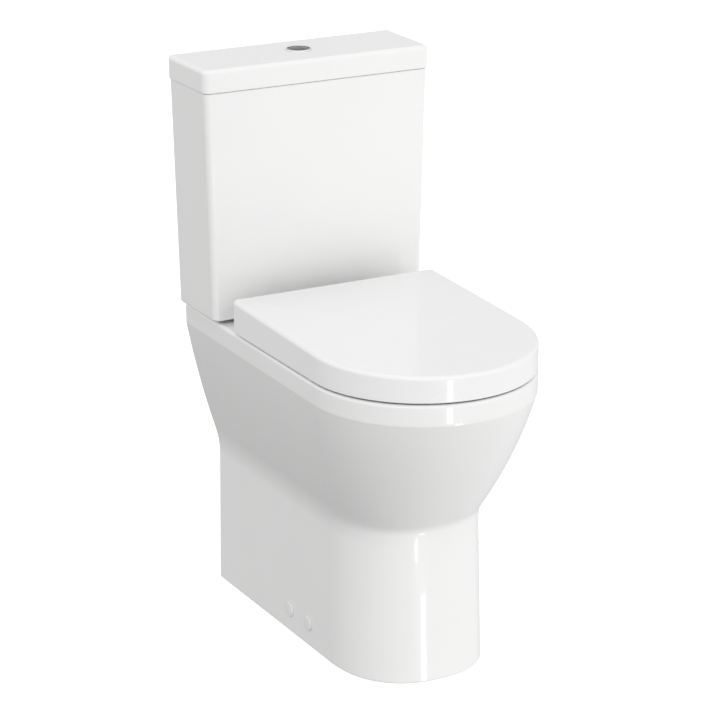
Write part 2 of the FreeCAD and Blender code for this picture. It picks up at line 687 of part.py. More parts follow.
def button(full):
    dome_r = 110.0
    dome = Part.makeSphere(dome_r, V(0, CISTERN_Y, BUTTON_TOP_Z - dome_r))
    disc = upright(BUTTON_R, 0, CISTERN_Y, BUTTON_LOW_Z, BUTTON_TOP_Z + 1).common(dome)
    gap = 0.3
    if full:
        half = disc.cut(box(SPLIT_X - gap, 30, 200, 280, 800, 860))
    else:
        half = disc.cut(box(-30, SPLIT_X + gap, 200, 280, 800, 860))
    x, y = FULL_ROD if full else HALF_ROD
    ceiling = BUTTON_LOW_Z + POCKET_DEPTH
    half = half.cut(upright(POCKET_R, x, y, BUTTON_LOW_Z - 1, ceiling))
    return half.cut(upright(PUSH_ROD_R + 0.03, x, y, BUTTON_LOW_Z, ceiling + ROD_GRIP))


def lever_input_top():
    return LEVER_PIVOT_Z + LEVER_INPUT_ARM * math.sin(LEVER_TILT) + 3.0


def push_rod(x, y):
    tip_z = lever_input_top() + ROD_TIP_GAP
    stem = upright(PUSH_ROD_R, x, y, tip_z + 1.0, BUTTON_LOW_Z + POCKET_DEPTH + ROD_GRIP)
    tip = Part.makeCone(PUSH_ROD_R - 1.0, PUSH_ROD_R, 1.0, V(x, y, tip_z))
    return stem.fuse(tip).removeSplitter()


def return_spring(x, y):
    """A light coil on the bezel's plate, at its pressed length, bent in short straight steps."""
    low = BEZEL_PLATE_Z[1] + 0.1 + SPRING_WIRE_R
    high = BUTTON_LOW_Z + POCKET_DEPTH - BUTTON_TRAVEL - 0.1 - SPRING_WIRE_R
    turns = 6
    steps = 12 * turns
    points = []
    for i in range(steps + 1):
        turn = 2 * math.pi * turns * i / steps
        beside_x = x + SPRING_COIL_R * math.cos(turn)
        beside_y = y + SPRING_COIL_R * math.sin(turn)
        points.append(V(beside_x, beside_y, between(low, high, i / steps)))
    circle = Part.Wire([Part.makeCircle(SPRING_WIRE_R, points[0], points[1] - points[0])])
    mitred = 1
    return Part.makePolygon(points).makePipeShell([circle], True, False, mitred)


# ---------------------------------------------------------------- fill valve
def fill_valve_body():
    inside = CISTERN_BOTTOM_Z + CISTERN_FLOOR
    tail = upright(FILL_SHANK_R, FILL_X, FILL_Y, *FILL_TAIL_Z)
    relief = upright(FILL_RELIEF_R, FILL_X, FILL_Y, FILL_TAIL_Z[1], FILL_NUT_Z)
    shank = upright(FILL_SHANK_R, FILL_X, FILL_Y, FILL_NUT_Z, inside + 4)
    flange = upright(20.0, FILL_X, FILL_Y, inside + 3, inside + 8)
    riser = upright(11.0, FILL_X, FILL_Y, inside + 7, 692.0)
    head = upright(20.0, FILL_X, FILL_Y, 690.0, 710.0)
    lugs = []
    for y0, y1 in ((243.0, 246.6), (253.4, 257.0)):
        lug = box(FILL_LEVER_X - 5, FILL_LEVER_X + 5, y0, y1, 708.0, FILL_LEVER_Z)
        lugs.append(lug.fuse(rod(5.0, (FILL_LEVER_X, y0, FILL_LEVER_Z), (0, 1, 0), y1 - y0)))
    body = fuse([tail, relief, shank, flange, riser, head] + lugs)
    body = body.cut(upright(5.5, FILL_X, FILL_Y, 429.0, 700.0))
    return body.cut(rod(1.8, (FILL_LEVER_X, 240, FILL_LEVER_Z), (0, 1, 0), 20))


def fill_valve_washer():
    inside = CISTERN_BOTTOM_Z + CISTERN_FLOOR
    return washer(20.0, FILL_SHANK_R + 0.1, FILL_X, FILL_Y, inside, inside + 3)


def fill_valve_nut():
    nut = polygon_prism(6, 32.0, FILL_X, FILL_Y, FILL_NUT_Z, CISTERN_BOTTOM_Z)
    return nut.cut(upright(FILL_SHANK_R + 0.05, FILL_X, FILL_Y, FILL_NUT_Z - 1, CISTERN_BOTTOM_Z + 1))


LINK_X = FILL_LEVER_X - FILL_LEVER_ARM


def fill_float():
    cup = washer(25.0, 11.4, FILL_X, FILL_Y, 600.0, 660.0)
    ear = box(LINK_X - 4, FILL_X - 18, FILL_Y - 4, FILL_Y + 4, 652.0, 660.0)
    ear = ear.cut(upright(11.4, FILL_X, FILL_Y, 640, 670))
    cup = cup.fuse(ear).removeSplitter()
    return cup.cut(upright(2.0, LINK_X, FILL_Y, 650, 662))


def link_rod():
    stem = upright(2.0, LINK_X, FILL_Y, 652.0, 734.0)
    low_clip = upright(4.0, LINK_X, FILL_Y, 711.5, 713.5)
    high_clip = upright(4.0, LINK_X, FILL_Y, 726.5, 728.5)
    return fuse([stem, low_clip, high_clip])


def fill_lever():
    bar = box(-FILL_LEVER_ARM + 6, 0, -3, 3, -2.5, 2.5)
    hub = rod(4.5, (0, -3, 0), (0, 1, 0), 6)
    end = box(-FILL_LEVER_ARM - 7.5, -FILL_LEVER_ARM + 7.5, -5, 5, -2.5, 2.5)
    shape = fuse([bar, hub, end])
    shape = shape.cut(box(-FILL_LEVER_ARM - 4, -FILL_LEVER_ARM + 4, -2.5, 2.5, -5, 5))
    shape = shape.cut(rod(1.85, (0, -10, 0), (0, 1, 0), 20))
    shape.rotate(V(0, 0, 0), V(0, 1, 0), -math.degrees(FILL_LEVER_TILT))
    shape.translate(V(FILL_LEVER_X, FILL_Y, FILL_LEVER_Z))
    return shape


def fill_lever_pin():
    return rod(1.78, (FILL_LEVER_X, 242.5, FILL_LEVER_Z), (0, 1, 0), 15.0)


# ---------------------------------------------------------------- seat
POST_HALF = 10.0            # half width of a hinge post along X
LUG_GAP = 1.0
EYE_R = 9.0                 # round ends of the posts and lugs, on the hinge line
PIN_R = 3.99
PIN_BORE_R = 4.05
DAMPER_R = 7.98


def seat_outline(z, shrink, back):
    """A D with parallel sides and a half-round nose, drawn in by shrink from the cover's outside."""
    half = COVER_HALF - shrink
    shoulder = COVER_FRONT_Y + COVER_HALF
    right = V(half, shoulder, z)
    left = V(-half, shoulder, z)
    return Part.Wire([
        Part.makeLine(V(-half, back, z), V(half, back, z)),
        Part.makeLine(V(half, back, z), right),
        Part.Arc(right, V(0, shoulder - half, z), left).toShape(),
        Part.makeLine(left, V(-half, back, z)),
    ])


def seat_cover():
    """The wrap-over cover: a shallow D-shaped tray, upside down, with lugs for the hinge pins."""
    def slab(shrink, z0, z1, back):
        return Part.Face(seat_outline(z0, shrink, back)).extrude(V(0, 0, z1 - z0))

    block = slab(0, COVER_LOW_Z, COVER_TOP_Z, COVER_BACK_Y)
    upright_edges = [e for e in block.Edges if e.BoundBox.ZLength > 40 and e.BoundBox.YMin > COVER_BACK_Y - 1]
    block = block.makeFillet(COVER_CORNER_R, upright_edges)
    top_edges = [e for e in block.Edges if e.BoundBox.ZMin > COVER_TOP_Z - 0.01]
    block = block.makeFillet(COVER_ROUND, top_edges)
    heel_y = COVER_BACK_Y - COVER_HEEL_R
    heel_z = COVER_LOW_Z + COVER_HEEL_R
    heel = box(-200, 200, heel_y, COVER_BACK_Y + 1, COVER_LOW_Z - 1, heel_z)
    heel = heel.cut(rod(COVER_HEEL_R, (-210, heel_y, heel_z), (1, 0, 0), 420))
    block = block.cut(heel)
    room = slab(COVER_WALL, COVER_LOW_Z - 1, COVER_TOP_Z - COVER_WALL, COVER_BACK_Y - COVER_WALL)
    cover = block.cut(room)
    ceiling = COVER_TOP_Z - COVER_WALL
    open_x = HINGE_X + 26.5
    open_y = SEAT_AXIS_Y + 12
    cover = cover.cut(box(-open_x, open_x, open_y, COVER_BACK_Y + 1, COVER_LOW_Z - 1, ceiling - 2))
    lug_wide = 9.0
    for side in (-1, 1):
        lug_x = HINGE_X - POST_HALF - LUG_GAP - lug_wide
        x0, x1 = sorted((side * lug_x, side * (lug_x + lug_wide)))
        lug = box(x0, x1, SEAT_AXIS_Y - EYE_R, SEAT_AXIS_Y + EYE_R, SEAT_AXIS_Z, ceiling + 1)
        lug = lug.fuse(rod(EYE_R, (x0, SEAT_AXIS_Y, SEAT_AXIS_Z), (1, 0, 0), x1 - x0))
        cover = cover.fuse(lug)
    saddle = box(24, 52, SEAT_AXIS_Y - 7, SEAT_AXIS_Y + 7, SEAT_AXIS_Z + 2, ceiling + 1)
    cover = cover.fuse(saddle).removeSplitter()
    cover = cover.cut(rod(DAMPER_R + 0.02, (20, SEAT_AXIS_Y, SEAT_AXIS_Z), (1, 0, 0), 35))
    return cover.cut(rod(PIN_BORE_R, (-120, SEAT_AXIS_Y, SEAT_AXIS_Z), (1, 0, 0), 240))


def seat_ring():
    """The ring that is sat on: a D with an oval hole, hollow below, lugs outside the hinge posts."""
    back = SEAT_AXIS_Y + 8

    def slab(shrink, z0, z1, y_back):
        return Part.Face(seat_outline(z0, RING_INSET + shrink, y_back)).extrude(V(0, 0, z1 - z0))

    def hole(grow, z0, z1):
        wire = ellipse_wire(z0, RING_HALF_HOLE + grow, RING_HOLE_FRONT - grow, RING_HOLE_BACK + grow)
        return Part.Face(wire).extrude(V(0, 0, z1 - z0))

    ring = slab(0, RING_LOW_Z, RING_TOP_Z, back).cut(hole(0, RING_LOW_Z - 1, RING_TOP_Z + 1))
    top_edges = [e for e in ring.Edges if e.BoundBox.ZMin > RING_TOP_Z - 0.01 and e.BoundBox.YMin < back - 1]
    ring = ring.makeFillet(RING_ROUND, top_edges)
    channel = slab(RING_WALL, RING_LOW_Z - 1, RING_TOP_Z - RING_WALL, 40.0)
    channel = channel.cut(hole(RING_WALL, RING_LOW_Z - 2, RING_TOP_Z))
    for turn in range(-75, 76, 25):
        angle = math.radians(turn - 90)
        rib = box(0, 400, -2, 2, RING_LOW_Z, RING_TOP_Z)
        rib.rotate(V(0, 0, 0), V(0, 0, 1), math.degrees(angle))
        rib.translate(V(0, -90, 0))
        channel = channel.cut(rib)
    ring = ring.cut(channel)
    swing_y = SEAT_AXIS_Y - 26
    for x0, x1 in ((-170, -100), (100, 170)):
        ring = ring.cut(box(x0, x1, swing_y, back + 1, RING_LOW_Z - 1, SEAT_AXIS_Z - 12))
    step_y = SEAT_AXIS_Y - 14
    ring = ring.cut(box(-104, 104, step_y, back + 1, RING_LOW_Z - 1, RING_TOP_Z + 1))
    for side in (-1, 1):
        lug_x = HINGE_X + POST_HALF + LUG_GAP
        x0, x1 = sorted((side * lug_x, side * (lug_x + 14)))
        web = box(x0, x1, step_y - 3, SEAT_AXIS_Y, SEAT_AXIS_Z - 8, RING_TOP_Z)
        eye = rod(EYE_R, (x0, SEAT_AXIS_Y, SEAT_AXIS_Z), (1, 0, 0), x1 - x0)
        ring = ring.fuse([web, eye])
    shelf = box(-54, 54, step_y - 3, SEAT_AXIS_Y - 9.5, RING_LOW_Z, SEAT_AXIS_Z - 9)
    cradle = box(-52, -24, step_y - 3, SEAT_AXIS_Y + 7, RING_LOW_Z + 4, SEAT_AXIS_Z)
    ring = ring.fuse([shelf, cradle]).removeSplitter()
    ring = ring.cut(rod(DAMPER_R + 0.02, (-55, SEAT_AXIS_Y, SEAT_AXIS_Z), (1, 0, 0), 35))
    return ring.cut(rod(PIN_BORE_R, (-120, SEAT_AXIS_Y, SEAT_AXIS_Z), (1, 0, 0), 240))


def ring_buffers():
    places = []
    for side in (-1, 1):
        places.append((side * 142.0, -30.0))
        places.append((side * 105.0, -205.0))
    buffers = []
    for x, y in places:
        pad = upright(6.5, x, y, DECK_Z + 0.1, RING_LOW_Z)
        stalk = upright(2.0, x, y, RING_LOW_Z - 1, RING_TOP_Z - RING_WALL)
        buffers.append(pad.fuse(stalk).removeSplitter())
    return buffers


def cover_buffers():
    ceiling = COVER_TOP_Z - COVER_WALL
    buffers = []
    for side in (-1, 1):
        for x, y in ((side * 142.0, -30.0), (side * 88.0, -228.0)):
            buffers.append(upright(5.5, x, y, RING_TOP_Z + 0.2, ceiling))
    return buffers


def hinge_posts():
    """The posts that carry the pins, each with its round foot, its stud and its flats."""
    posts = []
    for side in (-1, 1):
        x = side * HINGE_X
        foot = upright(18.5, x, SEAT_AXIS_Y, DECK_Z + 1.5, DECK_Z + 3.5)
        neck = box(x - POST_HALF, x + POST_HALF, SEAT_AXIS_Y - 8, SEAT_AXIS_Y + 8, DECK_Z + 3, SEAT_AXIS_Z)
        eye = rod(EYE_R, (x - POST_HALF, SEAT_AXIS_Y, SEAT_AXIS_Z), (1, 0, 0), 2 * POST_HALF)
        stud = upright(4.0, x, SEAT_AXIS_Y, 405.0, DECK_Z + 2)
        post = fuse([foot, neck, eye, stud])
        posts.append(post.cut(rod(4.0, (x - 20, SEAT_AXIS_Y, SEAT_AXIS_Z), (1, 0, 0), 40)))
    return posts


def hinge_pins():
    low = HINGE_X - POST_HALF - LUG_GAP - 19.0
    high = HINGE_X + POST_HALF + LUG_GAP + 13.0
    pin = rod(PIN_R, (low, SEAT_AXIS_Y, SEAT_AXIS_Z), (1, 0, 0), high - low)
    return [pin, mirrored(pin)]


def soft_close_damper(side):
    """An oil-damped barrel on the hinge line; the pin turns in its open end."""
    barrel_x = 24.0
    nose_length = 3.0
    barrel = rod(DAMPER_R, (barrel_x, SEAT_AXIS_Y, SEAT_AXIS_Z), (1, 0, 0), 31.0)
    nose_start = V(barrel_x - nose_length, SEAT_AXIS_Y, SEAT_AXIS_Z)
    nose = Part.makeCone(5.5, DAMPER_R, nose_length, nose_start, V(1, 0, 0))
    body = barrel.fuse(nose).removeSplitter()
    body = body.cut(rod(PIN_BORE_R, (46.0, SEAT_AXIS_Y, SEAT_AXIS_Z), (1, 0, 0), 12))
    return body if side > 0 else mirrored(body)


def hinge_foot_washers():
    return [washer(20.0, 4.2, side * HINGE_X, SEAT_AXIS_Y, DECK_Z, DECK_Z + 1.5) for side in (-1, 1)]


def hinge_bushes():
    """Rubber cones that centre each stud in its hole, under the deck."""
    low = DECK_Z - DECK_THICK
    bushes = []
    for side in (-1, 1):
        x = side * HINGE_X
        plug = upright(HINGE_HOLE_R - 0.2, x, SEAT_AXIS_Y, low, low + 9)
        flange = upright(11.0, x, SEAT_AXIS_Y, low - 3, low)
        bore = upright(4.1, x, SEAT_AXIS_Y, low - 5, low + 12)
        bushes.append(plug.fuse(flange).cut(bore).removeSplitter())
    return bushes


def hinge_wing_nuts():
    top = DECK_Z - DECK_THICK - 3.0
    return [wing_nut(side * HINGE_X, SEAT_AXIS_Y, top, 4.02, 13.0) for side in (-1, 1)]


# ---------------------------------------------------------------- the assembly
def pieces():
    full_y = FULL_ROD[1]
    half_y = HALF_ROD[1]
    yield "pan", pan()
    yield "floor_bracket_left", floor_bracket(-1)
    yield "floor_bracket_right", floor_bracket(1)
    yield "side_fixing_screws", side_screws()
    yield "side_screw_caps", side_caps()
    yield "cistern_body", cistern_body()
    yield "cistern_cushion_pads", cushion_pads()
    yield "cistern_lid", cistern_lid()
    yield "doughnut_washer", doughnut_washer()
    yield "coupling_bolts", coupling_bolts()
    yield "coupling_cone_washers", cone_washers()
    yield "coupling_head_washers", head_washers()
    yield "coupling_deck_washers", deck_washers()
    yield "coupling_wing_nuts", coupling_wing_nuts()
    yield "flush_valve_base", flush_valve_base()
    yield "flush_valve_washer", washer(41.0, 29.9, 0, CISTERN_Y, 475.0, 478.0)
    yield "flush_valve_nut", flush_valve_nut()
    yield "flush_valve_cage", flush_valve_cage()
    yield "overflow_spindle", overflow_spindle()
    yield "spindle_float", spindle_float()
    yield "flush_seal", flush_seal()
    yield "half_flush_float", half_flush_float()
    yield "actuator_bridge", actuator_bridge()
    yield "full_flush_lever", lever(10.0, full_y, -1)
    yield "half_flush_lever", lever(-8.0, half_y, 1)
    yield "flush_lever_pins", lever_pins()
    yield "button_bezel", button_bezel()
    yield "button_ring_nut", button_ring_nut()
    yield "full_flush_button", button(True)
    yield "half_flush_button", button(False)
    yield "full_push_rod", push_rod(*FULL_ROD)
    yield "half_push_rod", push_rod(*HALF_ROD)
    yield "full_button_spring", return_spring(*FULL_ROD)
    yield "half_button_spring", return_spring(*HALF_ROD)
    yield "fill_valve_body", fill_valve_body()
    yield "fill_valve_washer", fill_valve_washer()
    yield "fill_valve_nut", fill_valve_nut()
    yield "fill_valve_float", fill_float()
    yield "fill_link_rod", link_rod()
    yield "fill_valve_lever", fill_lever()
    yield "fill_lever_pin", fill_lever_pin()
    yield "seat_ring", seat_ring()
    yield "seat_ring_buffers", ring_buffers()
    yield "seat_cover", seat_cover()
    yield "seat_cover_buffers", cover_buffers()
    yield "hinge_posts", hinge_posts()
    yield "hinge_pins", hinge_pins()
    yield "ring_damper", soft_close_damper(-1)
    yield "cover_damper", soft_close_damper(1)
    yield "hinge_foot_washers", hinge_foot_washers()
    yield "hinge_bushes", hinge_bushes()
    yield "hinge_wing_nuts", hinge_wing_nuts()


def main():
    os.makedirs("parts", exist_ok=True)
    for name, made in pieces():
        solids = made if isinstance(made, list) else [made]
        shape = solids[0] if len(solids) == 1 else Part.makeCompound(solids)
        shape.exportStep(f"parts/{name}.step")
        litres = shape.Volume / 1e6
        print(f"{name:24s} {len(shape.Solids)} solids  valid {shape.isValid()}  {litres:.4f} l")


main()
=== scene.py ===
import json
import math

import bmesh
import bpy
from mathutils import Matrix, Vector


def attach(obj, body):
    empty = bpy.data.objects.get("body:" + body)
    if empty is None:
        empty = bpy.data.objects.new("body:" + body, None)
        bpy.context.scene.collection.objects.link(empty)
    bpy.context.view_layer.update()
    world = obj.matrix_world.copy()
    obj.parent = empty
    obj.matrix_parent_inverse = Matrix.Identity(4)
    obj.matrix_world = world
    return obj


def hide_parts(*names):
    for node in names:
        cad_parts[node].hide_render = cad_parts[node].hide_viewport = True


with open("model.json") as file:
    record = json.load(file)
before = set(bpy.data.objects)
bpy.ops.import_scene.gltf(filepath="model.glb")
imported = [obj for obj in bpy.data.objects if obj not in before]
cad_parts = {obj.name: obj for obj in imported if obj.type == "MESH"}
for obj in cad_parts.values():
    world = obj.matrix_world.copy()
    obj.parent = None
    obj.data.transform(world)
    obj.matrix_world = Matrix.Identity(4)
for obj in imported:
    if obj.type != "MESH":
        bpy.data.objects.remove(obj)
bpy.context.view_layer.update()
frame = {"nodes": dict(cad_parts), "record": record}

MM = 0.001

# ---------------------------------------------------------------- sizes, in millimetres
WALL_Y = 300.0
FRONT_Y = -300.0
DECK_Z = 460.0
DECK_THICK = 14.0
BAND_Z = 429.0                          # the foot of the upright band below the rim
CREASE_Z = 234.0                        # where the belly grows out of the plinth
CHINA = 10.0                            # the pan's wall
RIM_ROUND = 5.0
FOOT_ROUND = 2.0

# Pan outline: half width at the wall and front position of the plinth, the belly and the band.
PLINTH_HALF = (113.8, 111.5)            # at the foot, at the crease
PLINTH_FRONT = (-198.6, -190.2)
PLINTH_NOSE = (128.0, 2.32)             # length of the nose, power of its curve
BELLY_HALF = (112.75, 164.86, 3.53)     # at the crease, at the band, bulge between them
BELLY_FRONT = (-189.8, -299.66, -8.56)
BAND_HALF = (165.0, 165.3)              # at the foot of the band, at the deck
BAND_NOSE = (168.8, 2.0)
BAND_FLARE = 3.6                        # how much wider the shoulder is than the back
CREASE_BLEND = 8.2
FRONT_BLEND = 5.0

# Bowl: height, half width, front, back.
BOWL = (
    (461.0, 127.0, -257.0, 86.0),
    (425.0, 124.0, -251.0, 85.0),
    (375.0, 110.0, -224.0, 82.0),
    (320.0, 88.0, -170.0, 78.0),
    (270.0, 64.0, -96.0, 74.0),
    (215.0, 44.0, -32.0, 68.0),
    (170.0, 28.0, -6.0, 56.0),
)
BOWL_WALL = 9.0
MOUTH_ROUND = 6.0

# Trapway and outlet, in (y, z), and the outlet spigot's profiles in (radius, y).
TRAP = ((15.0, 190.0), (75.0, 190.0), (130.0, 292.0), (186.0, 292.0), (216.0, 185.0), (262.0, 185.0))
TRAP_BORE_R = 27.0
TRAP_WALL = 8.0
TRAP_BEND_R = 37.5
OUTLET_Z = 185.0
SPIGOT_OUTSIDE = ((35, 232), (51, 246), (51, 284.5), (49.8, 287))
SPIGOT_BORE = ((27, 232), (43.5, 246), (43.5, 285.5), (45.5, 289))

# Flush inlet: the cup for the doughnut washer, the well below it and the pipe that feeds the bowl.
CUP_R = 48.0
CUP_FLOOR_Z = 438.0
WELL_R = 32.0
WELL_FLOOR_Z = 402.0
CUP_WALL = 8.0
FEED_Z = 419.0
FEED_Y = 89.0
FEED_BORE_R = 17.0
FEED_WALL = 6.0
FILL_NOTCH = 21.0                       # half the width of the notch around the water inlet

# Screws through the sides of the plinth, and their caps.
SCREW_Y = (0.0, 60.0)
SCREW_Z = 35.7
SCREW_HOLE_R = 4.2
SCREW_BORE_X = (95.0, 130.0)            # from inside the plinth's wall to outside it
PLINTH_SIDE_X = 113.6
CAP_SEAT_R = 9.0
CAP_SEAT_DEPTH = 5.0
CAP_SPIGOT_R = (7.2, 8.9)
CAP_SPIGOT_LENGTH = 1.7
CAP_R = 11.75
CAP_ROUND = 1.5
CAP_DOME = ((8.0, 2.25), (5.5, 2.36), (2.5, 2.4), (0.4, 2.4))

# Cistern.
CISTERN_Y = 241.0
CISTERN_FRONT_Y = 176.5
CISTERN_Z = (465.0, 811.6)
CISTERN_HALF = (175.0, 184.8)
CISTERN_WALL = 9.0
CISTERN_FLOOR = 10.0
LID_HALF = 187.0
LID_FRONT_Y = 175.0
LID_Z = (812.2, 847.2)
LID_WALL = 13.0
LID_CEILING_Z = 835.0
LID_EDGE = 6.5
LID_RIBS = ((187.0, 191.2), (285.5, 289.8))
LID_RIB_HALF = 150.0
LID_RIB_DROP = 8.0                      # how far the ribs hang into the cistern
BUTTON_HOLE_R = 18.8
COUPLING_X = 75.0
COUPLING_HOLE_R = 6.0
FLUSH_VALVE_HOLE_R = 31.5
FILL = (115.0, 250.0)
FILL_HOLE_R = 14.0
WALL_HOLE = (120.0, 760.0)
WALL_HOLE_R = 4.0

# Push button. Each half has its own rod.
BEZEL_BORE_R = 17.0
BEZEL_NECK_R = 18.4
BEZEL_R = 19.6
BEZEL_ROUND = 1.3
BEZEL_RISE = 2.0                        # above the lid
BEZEL_PLATE_Z = (812.0, 814.0)
BEZEL_CENTRE_R = 2.6
BUTTON_R = 16.7
BUTTON_EDGE = 0.9
BUTTON_DISH = 1.4                       # fall of the domed top towards its rim
BUTTON_LOW_Z = 836.0
BUTTON_TOP_Z = LID_Z[1] + 2.5
SPRING_POCKET_R = 4.2
SPRING_POCKET_Z = 843.5
ROD_SOCKET_R = 2.03
ROD_BORE_R = 2.3
FULL_ROD = (-7.0, 234.0)
HALF_ROD = (9.0, 248.0)
SPLIT_X = 3.0
SPLIT_GAP = 0.6

# Seat.
SEAT_AXIS = (110.0, 487.0)
SEAT_CENTRE = (0, -90)
HINGE_X = 77.5
HINGE_HOLE_R = 7.0
HINGE_LUG_R = 9.0
HINGE_GAP_HALF = 104.0                  # the gap for the posts at the back of the cover and the ring
COVER_LUG_X = (20.0, 11.0)              # on the inner side of each hinge
RING_LUG_X = (11.0, 25.0)               # on its outer side
PIN_HOLE_R = 4.05
PIN_BORE_X = 120.0
DAMPER_HOLE_R = 8.0
DAMPER_BORE_X = (20.0, 55.0)            # in the cover; the ring's is its mirror image
DAMPER_LUG_X = (24.0, 52.0)
COVER_HALF = 169.0
COVER_FRONT_Y = -299.5
COVER_BACK_Y = 131.0
COVER_Z = (462.5, 509.0)
COVER_WALL = 4.5
COVER_EDGE = 6.5
COVER_CROWN = 1.0
COVER_SLOPE = 0.030                     # the top falls this much per millimetre towards the front
COVER_LEVEL_Y = -50.0                   # where the top is at COVER_Z
COVER_HEEL_R = 15.0
COVER_FILLET = 6.0                      # inside, where the walls meet the top
COVER_LIP = (1.2, 1.6)                  # rounding of the lower edge, inside and outside
BUFFER_PLACES = ((142.0, -30.0), (88.0, -228.0))
BUFFER_R = 5.5
BUFFER_TIP = 1.2
BUFFER_GAP = 0.2
RING_INSET = 6.5
RING_Z = (468.0, 492.0)
RING_HOLE = (118.0, -247.0, 62.0)       # half width, front, back
RING_EDGE = 7.0
RING_ROLL = 6.0                         # rounding at the hole
RING_FALL = 3.0                         # of the top, from the outer edge to the hole
RING_WALL = 6.0
RING_TOP_WALL = 8.0


# ---------------------------------------------------------------- mesh tools
def mesh_object(name, points, faces):
    """A new object from points in millimetres, with its faces turned outwards."""
    mesh = bpy.data.meshes.new(name)
    mesh.from_pydata([[c * MM for c in p] for p in points], [], faces)
    work = bmesh.new()
    work.from_mesh(mesh)
    bmesh.ops.recalc_face_normals(work, faces=work.faces)
    work.to_mesh(mesh)
    work.free()
    made = bpy.data.objects.new(name, mesh)
    bpy.context.scene.collection.objects.link(made)
    return made


def loft(name, rings, closed=False):
    """A solid through rings of equally many points: capped at both ends, or closed on itself."""
    count = len(rings[0])
    points = [p for ring in rings for p in ring]
    faces = []
    spans = len(rings) if closed else len(rings) - 1
    for i in range(spans):
        low = i * count
        high = (i + 1) % len(rings) * count
        for j in range(count):
            k = (j + 1) % count
            faces.append((low + j, low + k, high + k, high + j))
    if not closed:
        faces.append(tuple(range(count)))
        faces.append(tuple(range((len(rings) - 1) * count, len(rings) * count)))
    return mesh_object(name, points, faces)


def combine(base, operation, tools):
    """Applies each tool to base in turn, and removes the tools."""
    for tool in tools:
        step = base.modifiers.new("step", "BOOLEAN")
        step.operation = operation
        step.solver = "MANIFOLD"
        step.object = tool
        graph = bpy.context.evaluated_depsgraph_get()
        base.data = bpy.data.meshes.new_from_object(base.evaluated_get(graph))
        base.modifiers.clear()
        bpy.data.objects.remove(tool)
    return base


def joined(name, solids):
    """One object of several separate solids."""
    first = combine(solids[0], "UNION", solids[1:])
    first.name = name
    return first


def block(x0, x1, y0, y1, z0, z1):
    """A box between two values on each axis. The values of x may come in either order."""
    x0, x1 = sorted((x0, x1))
    rings = []
    for z in (z0, z1):
        rings.append([(x0, y0, z), (x1, y0, z), (x1, y1, z), (x0, y1, z)])
    return loft("tool", rings)


def turned(name, profile, centre, axis="z", count=64):
    """A body of revolution: profile holds (radius, position along the axis), from end to end."""
    rings = []
    for r, along in profile:
        ring = []
        for i in range(count):
            a = 2 * math.pi * i / count
            u = r * math.cos(a)
            v = r * math.sin(a)
            if axis == "z":
                ring.append((centre[0] + u, centre[1] + v, along))
            elif axis == "y":
                ring.append((centre[0] + u, along, centre[1] + v))
            else:
                ring.append((along, centre[0] + u, centre[1] + v))
        rings.append(ring)
    return loft(name, rings)


def bar(r, centre, start, end, axis="z", count=64):
    """A round bar or a drill."""
    return turned("tool", ((r, start), (r, end)), centre, axis, count)


def prism_x(profile, x0, x1):
    """A prism along X on a polygon of (y, z)."""
    return loft("tool", [[(x, y, z) for y, z in profile] for x in (x0, x1)])


def quarter(steps):
    """(sine, 1 - cosine) over a right angle, for rounded edges."""
    for i in range(steps + 1):
        a = math.pi / 2 * i / steps
        yield math.sin(a), 1 - math.cos(a)


def between(low, high, t):
    """The value a share t of the way from low to high."""
    return low + (high - low) * t


def smooth_max(a, b, blend):
    """The larger value, rounded off where the two are closer than blend."""
    h = max(blend - abs(a - b), 0) / blend
    return max(a, b) + h * h * blend / 4


def through(rows, z):
    """The row at height z on a smooth curve through rows of (height, value, value, ...), highest first."""
    i = 0
    while i < len(rows) - 2 and z < rows[i + 1][0]:
        i += 1
    before, a, b, after = rows[max(i - 1, 0)], rows[i], rows[i + 1], rows[min(i + 2, len(rows) - 1)]
    step = b[0] - a[0]
    t = (z - a[0]) / step
    found = []
    for k in range(1, len(a)):
        slope_a = (b[k] - before[k]) / (b[0] - before[0]) * step
        slope_b = (after[k] - a[k]) / (after[0] - a[0]) * step
        found.append(
            (2 * t ** 3 - 3 * t ** 2 + 1) * a[k]
            + (t ** 3 - 2 * t ** 2 + t) * slope_a
            + (3 * t ** 2 - 2 * t ** 3) * b[k]
            + (t ** 3 - t ** 2) * slope_b
        )
    return found


# ---------------------------------------------------------------- materials
def node_material(name, base_color, **values):
    """A material with its Principled shader, whose sockets take the given constants."""
    material = bpy.data.materials.new(name)
    material.use_nodes = True
    shader = material.node_tree.nodes["Principled BSDF"]
    shader.inputs["Base Color"].default_value = (*base_color, 1)
    for socket, value in values.items():
        shader.inputs[socket.replace("_", " ")].default_value = value
    return material, material.node_tree, shader


def texture_noise(tree, scale, detail=2.0, stretch=(1, 1, 1)):
    """Noise in the object's own space."""
    place = tree.nodes.new("ShaderNodeTexCoord")
    turn = tree.nodes.new("ShaderNodeMapping")
    turn.inputs["Scale"].default_value = stretch
    noise = tree.nodes.new("ShaderNodeTexNoise")
    noise.inputs["Scale"].default_value = scale
    noise.inputs["Detail"].default_value = detail
    tree.links.new(place.outputs["Object"], turn.inputs["Vector"])
    tree.links.new(turn.outputs["Vector"], noise.inputs["Vector"])
    return noise


def vary_colour(tree, shader, noise, dark, light):
    """Lets the base colour follow the noise."""
    ramp = tree.nodes.new("ShaderNodeValToRGB")
    ramp.color_ramp.elements[0].position = 0.3
    ramp.color_ramp.elements[1].position = 0.7
    ramp.color_ramp.elements[0].color = (*dark, 1)
    ramp.color_ramp.elements[1].color = (*light, 1)
    tree.links.new(noise.outputs["Fac"], ramp.inputs["Fac"])
    tree.links.new(ramp.outputs["Color"], shader.inputs["Base Color"])


